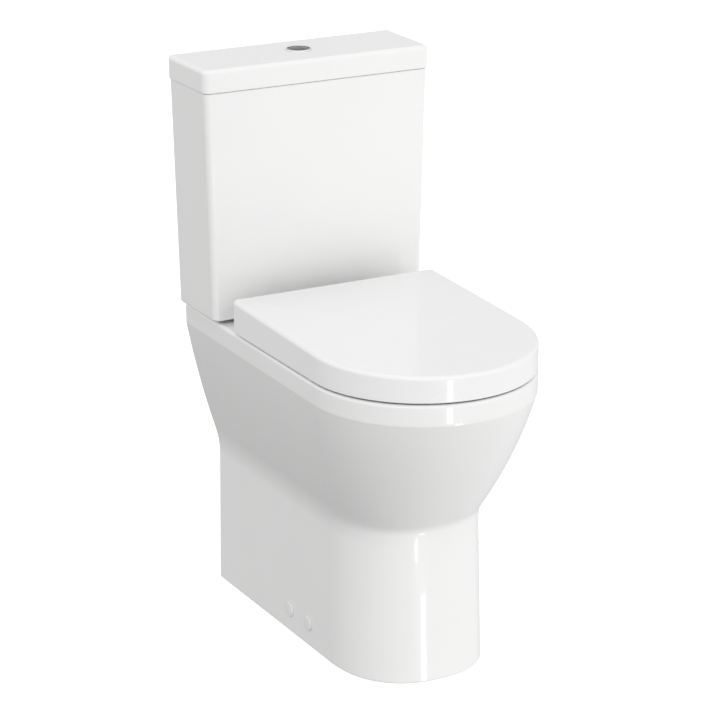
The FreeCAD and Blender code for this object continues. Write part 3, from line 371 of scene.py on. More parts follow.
def vary_roughness(tree, shader, noise, low, high):
    """Lets the roughness follow the noise."""
    spread = tree.nodes.new("ShaderNodeMapRange")
    spread.inputs["To Min"].default_value = low
    spread.inputs["To Max"].default_value = high
    tree.links.new(noise.outputs["Fac"], spread.inputs["Value"])
    tree.links.new(spread.outputs["Result"], shader.inputs["Roughness"])


def ripple(tree, shader, noise, strength, depth_mm):
    """Small waves in the surface and in its clear coat."""
    bump = tree.nodes.new("ShaderNodeBump")
    bump.inputs["Strength"].default_value = strength
    bump.inputs["Distance"].default_value = depth_mm * MM
    tree.links.new(noise.outputs["Fac"], bump.inputs["Height"])
    for socket in ("Normal", "Coat Normal"):
        tree.links.new(bump.outputs["Normal"], shader.inputs[socket])


def scaled(colour, factor):
    return tuple(c * factor for c in colour)


def glazed(name, colour):
    """Glazed china: a white body under clear glass, with the slow waviness that firing leaves."""
    material, tree, shader = node_material(
        name, colour, IOR=1.52, Coat_Weight=1.0, Coat_Roughness=0.03, Coat_IOR=1.5)
    vary_colour(tree, shader, texture_noise(tree, 9.0), scaled(colour, 0.985), colour)
    vary_roughness(tree, shader, texture_noise(tree, 7.0, 0.0), 0.255, 0.278)
    ripple(tree, shader, texture_noise(tree, 11.0, 0.0), 0.12, 0.6)
    return material


def gloss_moulded(name, colour):
    """Pressed gloss plastic: flatter than china, with a very fine orange peel."""
    material, tree, shader = node_material(
        name, colour, IOR=1.5, Coat_Weight=0.9, Coat_Roughness=0.05, Coat_IOR=1.5)
    vary_colour(tree, shader, texture_noise(tree, 14.0), scaled(colour, 0.988), colour)
    vary_roughness(tree, shader, texture_noise(tree, 9.0, 0.0), 0.256, 0.278)
    ripple(tree, shader, texture_noise(tree, 16.0, 0.0), 0.08, 0.3)
    return material


def plated(name, colour, rough=0.08):
    """Polished plate: nearly a mirror, a little uneven, with fine wiping marks."""
    material, tree, shader = node_material(name, colour, Metallic=1.0)
    vary_colour(tree, shader, texture_noise(tree, 30.0), scaled(colour, 0.93), colour)
    vary_roughness(tree, shader, texture_noise(tree, 260.0, 3.0, (1, 6, 1)), rough * 0.6, rough * 1.5)
    ripple(tree, shader, texture_noise(tree, 70.0, 1.0), 0.03, 0.1)
    return material


def drawn_metal(name, colour, rough=0.32):
    """Drawn or machined metal: fine lines along the part and an uneven tarnish."""
    material, tree, shader = node_material(name, colour, Metallic=1.0)
    vary_colour(tree, shader, texture_noise(tree, 45.0, 3.0), scaled(colour, 0.8), colour)
    lines = texture_noise(tree, 900.0, 3.0, (1, 1, 0.05))
    vary_roughness(tree, shader, lines, rough * 0.75, rough * 1.3)
    ripple(tree, shader, lines, 0.15, 0.04)
    return material


def satin_moulded(name, colour):
    """Injection-moulded plastic with a fine spark-eroded grain."""
    material, tree, shader = node_material(name, colour, IOR=1.48)
    vary_colour(tree, shader, texture_noise(tree, 25.0), scaled(colour, 0.93), colour)
    vary_roughness(tree, shader, texture_noise(tree, 200.0), 0.38, 0.52)
    ripple(tree, shader, texture_noise(tree, 1500.0, 2.0), 0.2, 0.05)
    return material


def rubber(name, colour, grain=700.0, depth_mm=0.08):
    """Matt rubber: soft sheen, dusty patches and a fine grain."""
    material, tree, shader = node_material(name, colour, IOR=1.45, Sheen_Weight=0.15, Sheen_Roughness=0.6)
    vary_colour(tree, shader, texture_noise(tree, 60.0, 3.0), scaled(colour, 0.8), scaled(colour, 1.15))
    vary_roughness(tree, shader, texture_noise(tree, 150.0), 0.62, 0.82)
    ripple(tree, shader, texture_noise(tree, grain, 3.0), 0.4, depth_mm)
    return material


FINISHES = {
    "glazed_ceramic_white": glazed("glazed_china", (0.86, 0.86, 0.855)),
    "seat_white": gloss_moulded("gloss_seat_plastic", (0.87, 0.87, 0.87)),
    "cap_white": gloss_moulded("gloss_cap_plastic", (0.84, 0.84, 0.84)),
    "chrome_trim": plated("satin_chrome_trim", (0.86, 0.86, 0.87), 0.12),
    "hinge_chrome": plated("polished_chrome", (0.78, 0.79, 0.81)),
    "pin_steel": drawn_metal("drawn_stainless", (0.62, 0.62, 0.63), 0.25),
    "spring_steel": drawn_metal("spring_wire", (0.55, 0.55, 0.57), 0.3),
    "zinc_steel": drawn_metal("bright_zinc", (0.68, 0.69, 0.66)),
    "brass_nut": drawn_metal("machined_brass", (0.78, 0.58, 0.25)),
    "damper_grey": satin_moulded("damper_plastic", (0.12, 0.125, 0.135)),
    "bracket_white": satin_moulded("bracket_nylon", (0.7, 0.7, 0.67)),
    "black_rubber": rubber("black_rubber", (0.02, 0.02, 0.021)),
    "foam_rubber": rubber("foam_rubber", (0.03, 0.03, 0.031), 380.0, 0.4),
    "buffer_rubber": rubber("buffer_rubber", (0.66, 0.66, 0.64)),
    "seal_silicone": rubber("red_silicone", (0.42, 0.05, 0.04)),
    "valve_white": satin_moulded("valve_acetal", (0.74, 0.74, 0.71)),
    "valve_grey": satin_moulded("valve_grey_plastic", (0.2, 0.21, 0.23)),
    "valve_blue": satin_moulded("valve_blue_plastic", (0.03, 0.09, 0.32)),
}
# Painted reflection: the button's chrome gets a dark base colour. It stands in for the dark surroundings
# that a real chrome button would mirror, since the studio round it is white.
BUTTON_PAINTED_REFLECTION_PLATE = plated("chrome_with_painted_dark_reflection", (0.11, 0.112, 0.115), 0.22)
SLOT_OF = {part["node"]: part["material_slot"] for part in frame["record"]["subparts"]}


def dress(made, body, *nodes):
    """Gives a finished mesh its material and shading, and puts it in the place of CAD nodes."""
    slot = SLOT_OF[nodes[0]]
    made.data.materials.clear()
    made.data.materials.append(FINISHES[slot])
    for face in made.data.polygons:
        face.material_index = 0
        face.use_smooth = True
    made.data.set_sharp_from_angle(angle=math.radians(35))
    shading = made.modifiers.new("even_shading", "WEIGHTED_NORMAL")
    shading.keep_sharp = True
    shading.weight = 80
    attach(made, body)
    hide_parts(*nodes)


for node, carried in frame["nodes"].items():
    carried.data.materials.clear()
    carried.data.materials.append(FINISHES[SLOT_OF[node]])


# ---------------------------------------------------------------- pan
PAN_SIDE_STEPS = 24
PAN_NOSE_STEPS = 120
PAN_BACK_STEPS = 12


def pan_outline(z):
    """Half width at the wall, half width at the shoulder, front, nose length and power at a height."""
    low = min(max(z / CREASE_Z, 0), 1)
    high = (z - CREASE_Z) / (BAND_Z - CREASE_Z)
    half = between(*PLINTH_HALF, low)
    front = between(*PLINTH_FRONT, low)
    bulge = 4 * high * (1 - high)
    belly_half = between(BELLY_HALF[0], BELLY_HALF[1], high) + BELLY_HALF[2] * bulge
    belly_front = between(BELLY_FRONT[0], BELLY_FRONT[1], high) + BELLY_FRONT[2] * bulge
    grown = min(max(high, 0), 1)
    if z >= BAND_Z:
        half = between(*BAND_HALF, (z - BAND_Z) / (DECK_Z - BAND_Z))
        front = between(BELLY_FRONT[1], FRONT_Y, (z - BAND_Z) / (DECK_Z - BAND_Z))
    else:
        half = smooth_max(half, belly_half, CREASE_BLEND)
        front = -smooth_max(-front, -belly_front, FRONT_BLEND)
    nose = between(PLINTH_NOSE[0], BAND_NOSE[0], grown)
    power = between(PLINTH_NOSE[1], BAND_NOSE[1], grown)
    return half, half + BAND_FLARE * grown, front, nose, power


def pan_ring(z, at=None, inset=0.0, back=WALL_Y):
    """The pan's outline at height z, or the outline of height at, drawn in by inset."""
    half_back, half_side, front, nose, power = pan_outline(z if at is None else at)
    half_back -= inset
    half_side -= inset
    shoulder = front + nose
    nose -= inset
    right = []
    for i in range(PAN_SIDE_STEPS):
        t = i / PAN_SIDE_STEPS
        right.append((between(half_back, half_side, t), between(back, shoulder, t), z))
    ring = list(right)
    for i in range(PAN_NOSE_STEPS + 1):
        a = math.pi * i / PAN_NOSE_STEPS
        c = math.cos(a)
        s = math.sin(a)
        x = half_side * math.copysign(abs(c) ** (2 / power), c)
        ring.append((x, shoulder - nose * abs(s) ** (2 / power), z))
    ring += [(-x, y, z) for x, y, z in reversed(right)]
    for i in range(1, PAN_BACK_STEPS):
        ring.append((between(-half_back, half_back, i / PAN_BACK_STEPS), back, z))
    return ring


def heights(*stretches):
    """Evenly spaced heights in each (start, end, count) stretch, and the last end."""
    found = []
    for start, end, count in stretches:
        found += [between(start, end, i / count) for i in range(count)]
    return found + [stretches[-1][1]]


def pan_skin():
    """The pan's outside, as a solid: rounded foot, plinth, crease, belly, band and rounded rim."""
    rings = []
    for s, c in quarter(4):
        rings.append(pan_ring(FOOT_ROUND * c, inset=FOOT_ROUND * (1 - s)))
    for z in heights((8, 200, 24), (200, 270, 28), (270, 427, 36)):
        rings.append(pan_ring(z))
    rings.append(pan_ring(BAND_Z - 0.8))
    for z in heights((BAND_Z, DECK_Z - RIM_ROUND, 6)):
        rings.append(pan_ring(z))
    for s, c in quarter(7):
        rings.append(pan_ring(DECK_Z - RIM_ROUND + RIM_ROUND * s, inset=RIM_ROUND * c))
    return loft("pan_china", rings)


def pan_hollow():
    """The hollow under the deck, open below and at the back."""
    under_deck = DECK_Z - DECK_THICK
    rings = []
    for z in [-5.0] + heights((0, 200, 12), (200, 270, 14), (270, under_deck, 20)):
        rings.append(pan_ring(z, at=max(z, 0), inset=CHINA, back=WALL_Y + 20))
    return loft("tool", rings)


def bowl_ring(z, grow, at=None, count=144):
    """The bowl's oval at height z, or the oval of height at, grown by grow."""
    half, front, back = through(BOWL, z if at is None else at)
    half += grow
    centre_y = (front + back) / 2
    half_long = (back - front) / 2 + grow
    ring = []
    for i in range(count):
        a = 2 * math.pi * i / count
        ring.append((half * math.cos(a), centre_y + half_long * math.sin(a), z))
    return ring


def bowl_cavity():
    """The room in the bowl, from the rounded bottom of its sump to its rounded mouth."""
    lowest = BOWL[-1][0]
    rings = []
    for shrink, drop in ((20, 8.0), (12, 6.5), (5, 3.5)):
        rings.append(bowl_ring(lowest - drop, -shrink, lowest))
    for z in heights((lowest, DECK_Z - MOUTH_ROUND, 60)):
        rings.append(bowl_ring(z, 0))
    for s, c in quarter(7):
        rings.append(bowl_ring(DECK_Z - MOUTH_ROUND + MOUTH_ROUND * s, MOUTH_ROUND * c))
    rings.append(bowl_ring(DECK_Z + 3, MOUTH_ROUND, DECK_Z))
    return loft("tool", rings)


def bowl_outside():
    """The bowl as a solid, with its wall."""
    lowest = BOWL[-1][0]
    rings = [bowl_ring(lowest - 15, -6, lowest), bowl_ring(lowest - 12, 2, lowest)]
    for z in heights((lowest - 4, DECK_Z - 6, 50)):
        rings.append(bowl_ring(z, BOWL_WALL, max(z, lowest)))
    return loft("tool", rings)


def trap_pipe(r):
    """A round pipe along the trap's line, with arcs where its straight runs meet."""
    corners = [Vector((0, y, z)) for y, z in TRAP]
    places = [(corners[0], (corners[1] - corners[0]).normalized())]
    for before, corner, after in zip(corners, corners[1:], corners[2:]):
        inwards = (corner - before).normalized()
        outwards = (after - corner).normalized()
        turn = inwards.angle(outwards)
        reach = TRAP_BEND_R * math.tan(turn / 2)
        side = (outwards - inwards * inwards.dot(outwards)).normalized()
        start = corner - inwards * reach
        bend_steps = 10
        for i in range(bend_steps + 1):
            a = turn * i / bend_steps
            point = start + inwards * TRAP_BEND_R * math.sin(a) + side * TRAP_BEND_R * (1 - math.cos(a))
            places.append((point, inwards * math.cos(a) + side * math.sin(a)))
    places.append((corners[-1], (corners[-1] - corners[-2]).normalized()))
    across = Vector((1, 0, 0))
    count = 48
    rings = []
    for point, along in places:
        up = along.cross(across)
        ring = []
        for i in range(count):
            a = 2 * math.pi * i / count
            ring.append(point + across * r * math.cos(a) + up * r * math.sin(a))
        rings.append(ring)
    return loft("tool", rings)


def make_pan():
    """The hollow skin, joined with the bowl, trapway, spigot and flush inlet, and then bored."""
    outlet = (0, OUTLET_Z)
    inlet = (0, CISTERN_Y)
    feed = (0, FEED_Z)
    below_deck = DECK_Z - 30
    over_deck = DECK_Z + 2
    pan = combine(pan_skin(), "DIFFERENCE", [pan_hollow()])
    combine(pan, "UNION", [
        bowl_outside(),
        trap_pipe(TRAP_BORE_R + TRAP_WALL),
        turned("tool", SPIGOT_OUTSIDE, outlet, "y"),
        bar(CUP_R + CUP_WALL, inlet, CUP_FLOOR_Z - CUP_WALL, DECK_Z - 1),
        bar(WELL_R + CUP_WALL, inlet, WELL_FLOOR_Z - CUP_WALL, CUP_FLOOR_Z),
        bar(FEED_BORE_R + FEED_WALL, feed, FEED_Y, CISTERN_Y, "y"),
    ])
    cuts = [
        bowl_cavity(),
        trap_pipe(TRAP_BORE_R),
        turned("tool", SPIGOT_BORE, outlet, "y"),
        bar(CUP_R, inlet, CUP_FLOOR_Z, over_deck),
        bar(WELL_R, inlet, WELL_FLOOR_Z, CUP_FLOOR_Z + 12),
        bar(FEED_BORE_R, feed, FEED_Y - 19, CISTERN_Y, "y"),
        block(FILL[0] - FILL_NOTCH, FILL[0] + FILL_NOTCH, FILL[1] - FILL_NOTCH, WALL_Y + 5,
              below_deck, over_deck),
    ]
    for side in (-1, 1):
        cuts.append(bar(HINGE_HOLE_R, (side * HINGE_X, SEAT_AXIS[0]), below_deck, over_deck))
        cuts.append(bar(COUPLING_HOLE_R, (side * COUPLING_X, CISTERN_Y), below_deck, over_deck))
        inside, outside = (side * x for x in SCREW_BORE_X)
        seat = side * (PLINTH_SIDE_X - CAP_SEAT_DEPTH)
        for y in SCREW_Y:
            cuts.append(bar(SCREW_HOLE_R, (y, SCREW_Z), inside, outside, "x", 32))
            cuts.append(bar(CAP_SEAT_R, (y, SCREW_Z), seat, outside, "x", 40))
    combine(pan, "DIFFERENCE", cuts)
    dress(pan, "toilet", "pan")


def make_caps():
    """Domed covers over the side screws, each a shallow disc with a rounded edge and a spigot."""
    face = PLINTH_SIDE_X
    spigot_end = face - CAP_SPIGOT_LENGTH
    profile = [(CAP_SPIGOT_R[0], spigot_end), (CAP_SPIGOT_R[1], spigot_end), (CAP_SPIGOT_R[1], face)]
    profile += [(CAP_R - 0.35, face), (CAP_R, face + 0.4)]
    for s, c in quarter(5):
        profile.append((CAP_R - CAP_ROUND * c, face + 0.6 + CAP_ROUND * s))
    profile += [(r, face + rise) for r, rise in CAP_DOME]
    caps = []
    for side in (-1, 1):
        for y in SCREW_Y:
            caps.append(turned("tool", [(r, side * x) for r, x in profile], (y, SCREW_Z), "x", 56))
    dress(joined("screw_caps_domed", caps), "toilet", "side_screw_caps")


# ---------------------------------------------------------------- cistern
def box_ring(z, half, front, back, r_front, r_back, steps=8):
    """A rectangle across X = 0 with rounded corners."""
    corners = (
        (half - r_front, front + r_front, r_front, -90),
        (half - r_back, back - r_back, r_back, 0),
        (-half + r_back, back - r_back, r_back, 90),
        (-half + r_front, front + r_front, r_front, 180),
    )
    ring = []
    for x, y, r, start in corners:
        for i in range(steps + 1):
            a = math.radians(start + 90 * i / steps)
            ring.append((x + r * math.cos(a), y + r * math.sin(a), z))
    return ring


def cistern_ring(z, shrink, r):
    """The cistern's outline, which widens upwards. The corners at the wall are tighter."""
    t = (z - CISTERN_Z[0]) / (CISTERN_Z[1] - CISTERN_Z[0])
    half = between(*CISTERN_HALF, t) - shrink
    r_front = max(r - shrink, 1.0)
    r_back = max(r * 0.6 - shrink, 0.8)
    return box_ring(z, half, CISTERN_FRONT_Y + shrink, WALL_Y - shrink, r_front, r_back)


def make_cistern():
    """An open box: up the outside, over the lip and down the inside to the floor."""
    low, high = CISTERN_Z
    foot = 3.0
    lip = 2.0
    fillet = 6.0
    corner = 9.5
    inner_corner = corner + CISTERN_WALL
    floor = low + CISTERN_FLOOR
    rings = []
    for s, c in quarter(5):
        rings.append(cistern_ring(low + foot * c, foot * (1 - s), corner))
    for z in heights((low + 10, high - 10, 12)):
        rings.append(cistern_ring(z, 0, corner))
    for s, c in quarter(4):
        rings.append(cistern_ring(high - lip + lip * s, lip * c, corner))
    for s, c in quarter(4):
        rings.append(cistern_ring(high - lip * c, CISTERN_WALL - lip * (1 - s), inner_corner))
    for z in heights((high - 10, floor + fillet + 2, 8)):
        rings.append(cistern_ring(z, CISTERN_WALL, inner_corner))
    for s, c in quarter(4):
        rings.append(cistern_ring(floor + fillet * (1 - s), CISTERN_WALL + fillet * c, inner_corner))
    cistern = loft("cistern_china", rings)
    cuts = [
        bar(FLUSH_VALVE_HOLE_R, (0, CISTERN_Y), low - 2, floor + 2),
        bar(FILL_HOLE_R, FILL, low - 2, floor + 2, count=40),
    ]
    for side in (-1, 1):
        cuts.append(bar(COUPLING_HOLE_R, (side * COUPLING_X, CISTERN_Y), low - 2, floor + 2, count=32))
        cuts.append(bar(WALL_HOLE_R, (side * WALL_HOLE[0], WALL_HOLE[1]), WALL_Y - 20, WALL_Y + 5, "y", 32))
    combine(cistern, "DIFFERENCE", cuts)
    dress(cistern, "toilet", "cistern_body")


def lid_ring(z, shrink, r, back_shrink=None):
    """The lid's outline, drawn in by shrink, and by back_shrink at the wall."""
    back = WALL_Y - (shrink if back_shrink is None else back_shrink)
    r_front = max(r - shrink, 1.0)
    r_back = max(r * 0.5 - shrink, 1.0)
    return box_ring(z, LID_HALF - shrink, LID_FRONT_Y + shrink, back, r_front, r_back)


def make_lid():
    """A hollow lid: from its ceiling down the inside, round the rim and up to the rounded top."""
    low, high = LID_Z
    corner = 11.0
    inner_corner = corner + LID_WALL
    rim = 1.5
    fillet = 5.0
    rings = [lid_ring(LID_CEILING_Z, LID_WALL + fillet, inner_corner)]
    for s, c in quarter(4):
        rings.append(lid_ring(LID_CEILING_Z - fillet * c, LID_WALL + fillet * (1 - s), inner_corner))
    rings.append(lid_ring(low + 3, LID_WALL, inner_corner))
    for s, c in quarter(3):
        rings.append(lid_ring(low + rim * (1 - s), LID_WALL - rim * c, inner_corner))
    for s, c in quarter(3):
        rings.append(lid_ring(low + rim * c, rim * (1 - s), corner))
    for z in heights((low + 6, high - LID_EDGE, 4)):
        rings.append(lid_ring(z, 0, corner))
    for s, c in quarter(9):
        rings.append(lid_ring(high - LID_EDGE + LID_EDGE * s, LID_EDGE * c, corner, 2.0 * c))
    lid = loft("cistern_lid_china", rings)
    for y0, y1 in LID_RIBS:
        rib = block(-LID_RIB_HALF, LID_RIB_HALF, y0, y1, low - LID_RIB_DROP, LID_CEILING_Z + 1)
        combine(lid, "UNION", [rib])
    combine(lid, "DIFFERENCE", [bar(BUTTON_HOLE_R, (0, CISTERN_Y), low, high + 3)])
    dress(lid, "cistern_lid", "cistern_lid")


# ---------------------------------------------------------------- push button
def make_bezel():
    """The ring round the button, with a neck down through the lid to the plate that guides the rods."""
    foot, plate = BEZEL_PLATE_Z
    lid_top = LID_Z[1]
    rim = lid_top + BEZEL_RISE
    profile = [(BEZEL_CENTRE_R, foot), (BEZEL_NECK_R, foot), (BEZEL_NECK_R, lid_top)]
    profile += [(BEZEL_R - 0.3, lid_top), (BEZEL_R, lid_top + 0.3)]
    for s, c in quarter(5):
        profile.append((BEZEL_R - BEZEL_ROUND * c, rim - BEZEL_ROUND * (1 - s)))
    profile += [(BEZEL_BORE_R + 0.4, rim), (BEZEL_BORE_R + 0.1, rim - 0.2), (BEZEL_BORE_R, rim - 0.6)]
    profile += [(BEZEL_BORE_R, plate), (BEZEL_CENTRE_R, plate)]
    bezel = turned("button_bezel_ring", profile, (0, CISTERN_Y), count=96)
    bores = [bar(ROD_BORE_R, rod, foot - 1, plate + 1, count=24) for rod in (FULL_ROD, HALF_ROD)]
    combine(bezel, "DIFFERENCE", bores)
    dress(bezel, "cistern_lid", "button_bezel")


def make_button_half(name, body, node, away, rod):
    """Half of the domed cap. The side away of the split is cut off: 1 for +X, -1 for -X."""
    edge_z = BUTTON_TOP_Z - BUTTON_DISH - BUTTON_EDGE
    profile = [(BUTTON_R - 0.6, BUTTON_LOW_Z), (BUTTON_R, BUTTON_LOW_Z + 0.6), (BUTTON_R, edge_z)]
    for s, c in quarter(5):
        profile.append((BUTTON_R - BUTTON_EDGE * c, edge_z + BUTTON_EDGE * s))
    for r in (14, 11, 8, 5, 2.5, 0.3):
        profile.append((r, BUTTON_TOP_Z - BUTTON_DISH * (r / BUTTON_R) ** 2))
    cap = turned(name, profile, (0, CISTERN_Y), count=96)
    clear = 40.0
    split_x = SPLIT_X - away * SPLIT_GAP / 2
    combine(cap, "DIFFERENCE", [
        block(split_x, away * clear, CISTERN_Y - clear, CISTERN_Y + clear, LID_Z[0], LID_Z[0] + clear),
        bar(SPRING_POCKET_R, rod, BUTTON_LOW_Z - 2, SPRING_POCKET_Z, count=32),
        bar(ROD_SOCKET_R, rod, BUTTON_LOW_Z, SPRING_POCKET_Z + 1, count=24),
    ])
    soften = cap.modifiers.new("eased_edges", "BEVEL")
    soften.width = 0.25 * MM
    soften.segments = 2
    soften.angle_limit = math.radians(50)
    dress(cap, body, node)
    # the button's dark colour is a painted dark reflection, not a dark finish
    cap.data.materials[0] = BUTTON_PAINTED_REFLECTION_PLATE


# ---------------------------------------------------------------- seat
SEAT_CORNER_STEPS = 8
SEAT_SIDE_STEPS = 20
SEAT_NOSE_STEPS = 96
SEAT_BACK_STEPS = 12
COVER_INNER_TOP = COVER_Z[1] - COVER_WALL - COVER_CROWN


def seat_ring_line(z, shrink, back, corner=8.0):
    """The seat's D: half-round nose, parallel sides, rounded back corners."""
    half = COVER_HALF - shrink
    shoulder = COVER_FRONT_Y + COVER_HALF
    corner = max(corner - shrink, 1.0)
    corner_y = back - corner
    ring = []
    for i in range(SEAT_CORNER_STEPS + 1):
        a = math.pi / 2 * i / SEAT_CORNER_STEPS
        ring.append((half - corner + corner * math.sin(a), corner_y + corner * math.cos(a), z))
    for i in range(1, SEAT_SIDE_STEPS):
        ring.append((half, between(corner_y, shoulder, i / SEAT_SIDE_STEPS), z))
    for i in range(SEAT_NOSE_STEPS + 1):
        a = math.pi * i / SEAT_NOSE_STEPS
        ring.append((half * math.cos(a), shoulder - half * math.sin(a), z))
    for i in range(1, SEAT_SIDE_STEPS):
        ring.append((-half, between(shoulder, corner_y, i / SEAT_SIDE_STEPS), z))
    for i in range(SEAT_CORNER_STEPS + 1):
        a = math.pi / 2 * i / SEAT_CORNER_STEPS
        ring.append((-half + corner - corner * math.cos(a), corner_y + corner * math.sin(a), z))
    for i in range(1, SEAT_BACK_STEPS):
        ring.append((between(-half + corner, half - corner, i / SEAT_BACK_STEPS), back, z))
    return ring


def towards_centre(ring, share, z):
    """A ring at height z, with its points a share of the way out from the seat's centre."""
    return [(between(SEAT_CENTRE[0], x, share), between(SEAT_CENTRE[1], y, share), z) for x, y, _ in ring]


def sloped(point):
    """A point of the level cover, moved to the wedge that the cover is: full slope on top, none below."""
    x, y, z = point
    share = (z - COVER_Z[0]) / (COVER_Z[1] - COVER_Z[0])
    return x, y, z + COVER_SLOPE * (y - COVER_LEVEL_Y) * share


def cover_rings():
    """Outlines from the middle of the cover's underside, round its lower edge, to the middle of its top."""
    low, high = COVER_Z
    edge_z = high - COVER_CROWN

    def line(z, shrink):
        return seat_ring_line(z, shrink, COVER_BACK_Y - shrink)

    inner_line = line(0, COVER_WALL + COVER_FILLET)
    rings = [
        towards_centre(inner_line, 0.05, COVER_INNER_TOP + COVER_CROWN * 0.6),
        towards_centre(inner_line, 0.6, COVER_INNER_TOP + COVER_CROWN * 0.4),
    ]
    for s, c in quarter(4):
        rings.append(line(COVER_INNER_TOP - COVER_FILLET * c, COVER_WALL + COVER_FILLET * (1 - s)))
    rings.append(line(low + 2, COVER_WALL))
    inner_lip, outer_lip = COVER_LIP
    for s, c in quarter(3):
        rings.append(line(low + inner_lip * (1 - s), COVER_WALL - inner_lip * c))
    for s, c in quarter(4):
        rings.append(line(low + outer_lip * c, outer_lip * (1 - s)))
    for z in heights((low + 8, edge_z - COVER_EDGE, 6)):
        rings.append(line(z, 0))
    for s, c in quarter(12):
        rings.append(line(edge_z - COVER_EDGE * (1 - s), COVER_EDGE * c))
    top_line = line(0, COVER_EDGE)
    for share in (0.97, 0.9, 0.8, 0.65, 0.5, 0.3, 0.12, 0.02):
        rings.append(towards_centre(top_line, share, edge_z + COVER_CROWN * (1 - share ** 2)))
    return [[sloped(point) for point in ring] for ring in rings]


def make_cover():
    """The wrap-over cover, with a rounded heel, an opening at the hinges and the lugs on their pins."""
    low = COVER_Z[0]
    axis_y, axis_z = SEAT_AXIS
    cover = loft("seat_cover_moulding", cover_rings())
    heel = [(COVER_BACK_Y + 3, low - 3), (COVER_BACK_Y + 3, low + COVER_HEEL_R)]
    for s, c in quarter(14):
        heel.append((COVER_BACK_Y - COVER_HEEL_R * c, low + COVER_HEEL_R * (1 - s)))
    heel.append((COVER_BACK_Y - COVER_HEEL_R, low - 3))
    gap_front = axis_y + 12
    gap_back = COVER_BACK_Y + 5
    combine(cover, "DIFFERENCE", [
        prism_x(heel, -200, 200),
        block(-HINGE_GAP_HALF, HINGE_GAP_HALF, gap_front, gap_back, low - 3, COVER_INNER_TOP - 2),
    ])
    lugs = []
    lug_top = sloped((0, axis_y, COVER_INNER_TOP + 2))[2]
    for side in (-1, 1):
        x0, x1 = (side * (HINGE_X - gap) for gap in COVER_LUG_X)
        lugs.append(block(x0, x1, axis_y - HINGE_LUG_R, axis_y + HINGE_LUG_R, axis_z, lug_top))
        lugs.append(bar(HINGE_LUG_R, SEAT_AXIS, x0, x1, "x"))
    lugs.append(block(*DAMPER_LUG_X, axis_y - 7, axis_y + 7, axis_z + 2, lug_top))
    combine(cover, "UNION", lugs)
    combine(cover, "DIFFERENCE", [
        bar(DAMPER_HOLE_R, SEAT_AXIS, *DAMPER_BORE_X, "x"),
        bar(PIN_HOLE_R, SEAT_AXIS, -PIN_BORE_X, PIN_BORE_X, "x", 32),
    ])
    dress(cover, "seat_cover", "seat_cover")


def make_cover_buffers():
    """Four soft domed pads under the cover, that stand on the ring when it is down."""
    foot = RING_Z[1] + BUFFER_GAP
    pads = []
    for side in (-1, 1):
        for x, y in BUFFER_PLACES:
            top = sloped((side * x, y, COVER_INNER_TOP + 1.5))[2]
            profile = [(0.4, foot), (BUFFER_R - BUFFER_TIP, foot)]
            for s, c in quarter(4):
                profile.append((BUFFER_R - BUFFER_TIP * (1 - s), foot + BUFFER_TIP * c))
            profile += [(BUFFER_R, top), (0.4, top)]
            pads.append(turned("tool", profile, (side * x, y), count=32))
    dress(joined("seat_cover_pads", pads), "seat_cover", "seat_cover_buffers")


def hole_line(outer, grow, z):
    """The oval hole's outline, with its points on the same rays as the outer line's."""
    half, front, back = RING_HOLE
    half += grow
    long_half = (back - front) / 2 + grow
    centre_y = (front + back) / 2
    ring = []
    for x, y, _ in outer:
        a = math.atan2((y - centre_y) / long_half, x / half)
        ring.append((half * math.cos(a), centre_y + long_half * math.sin(a), z))
    return ring


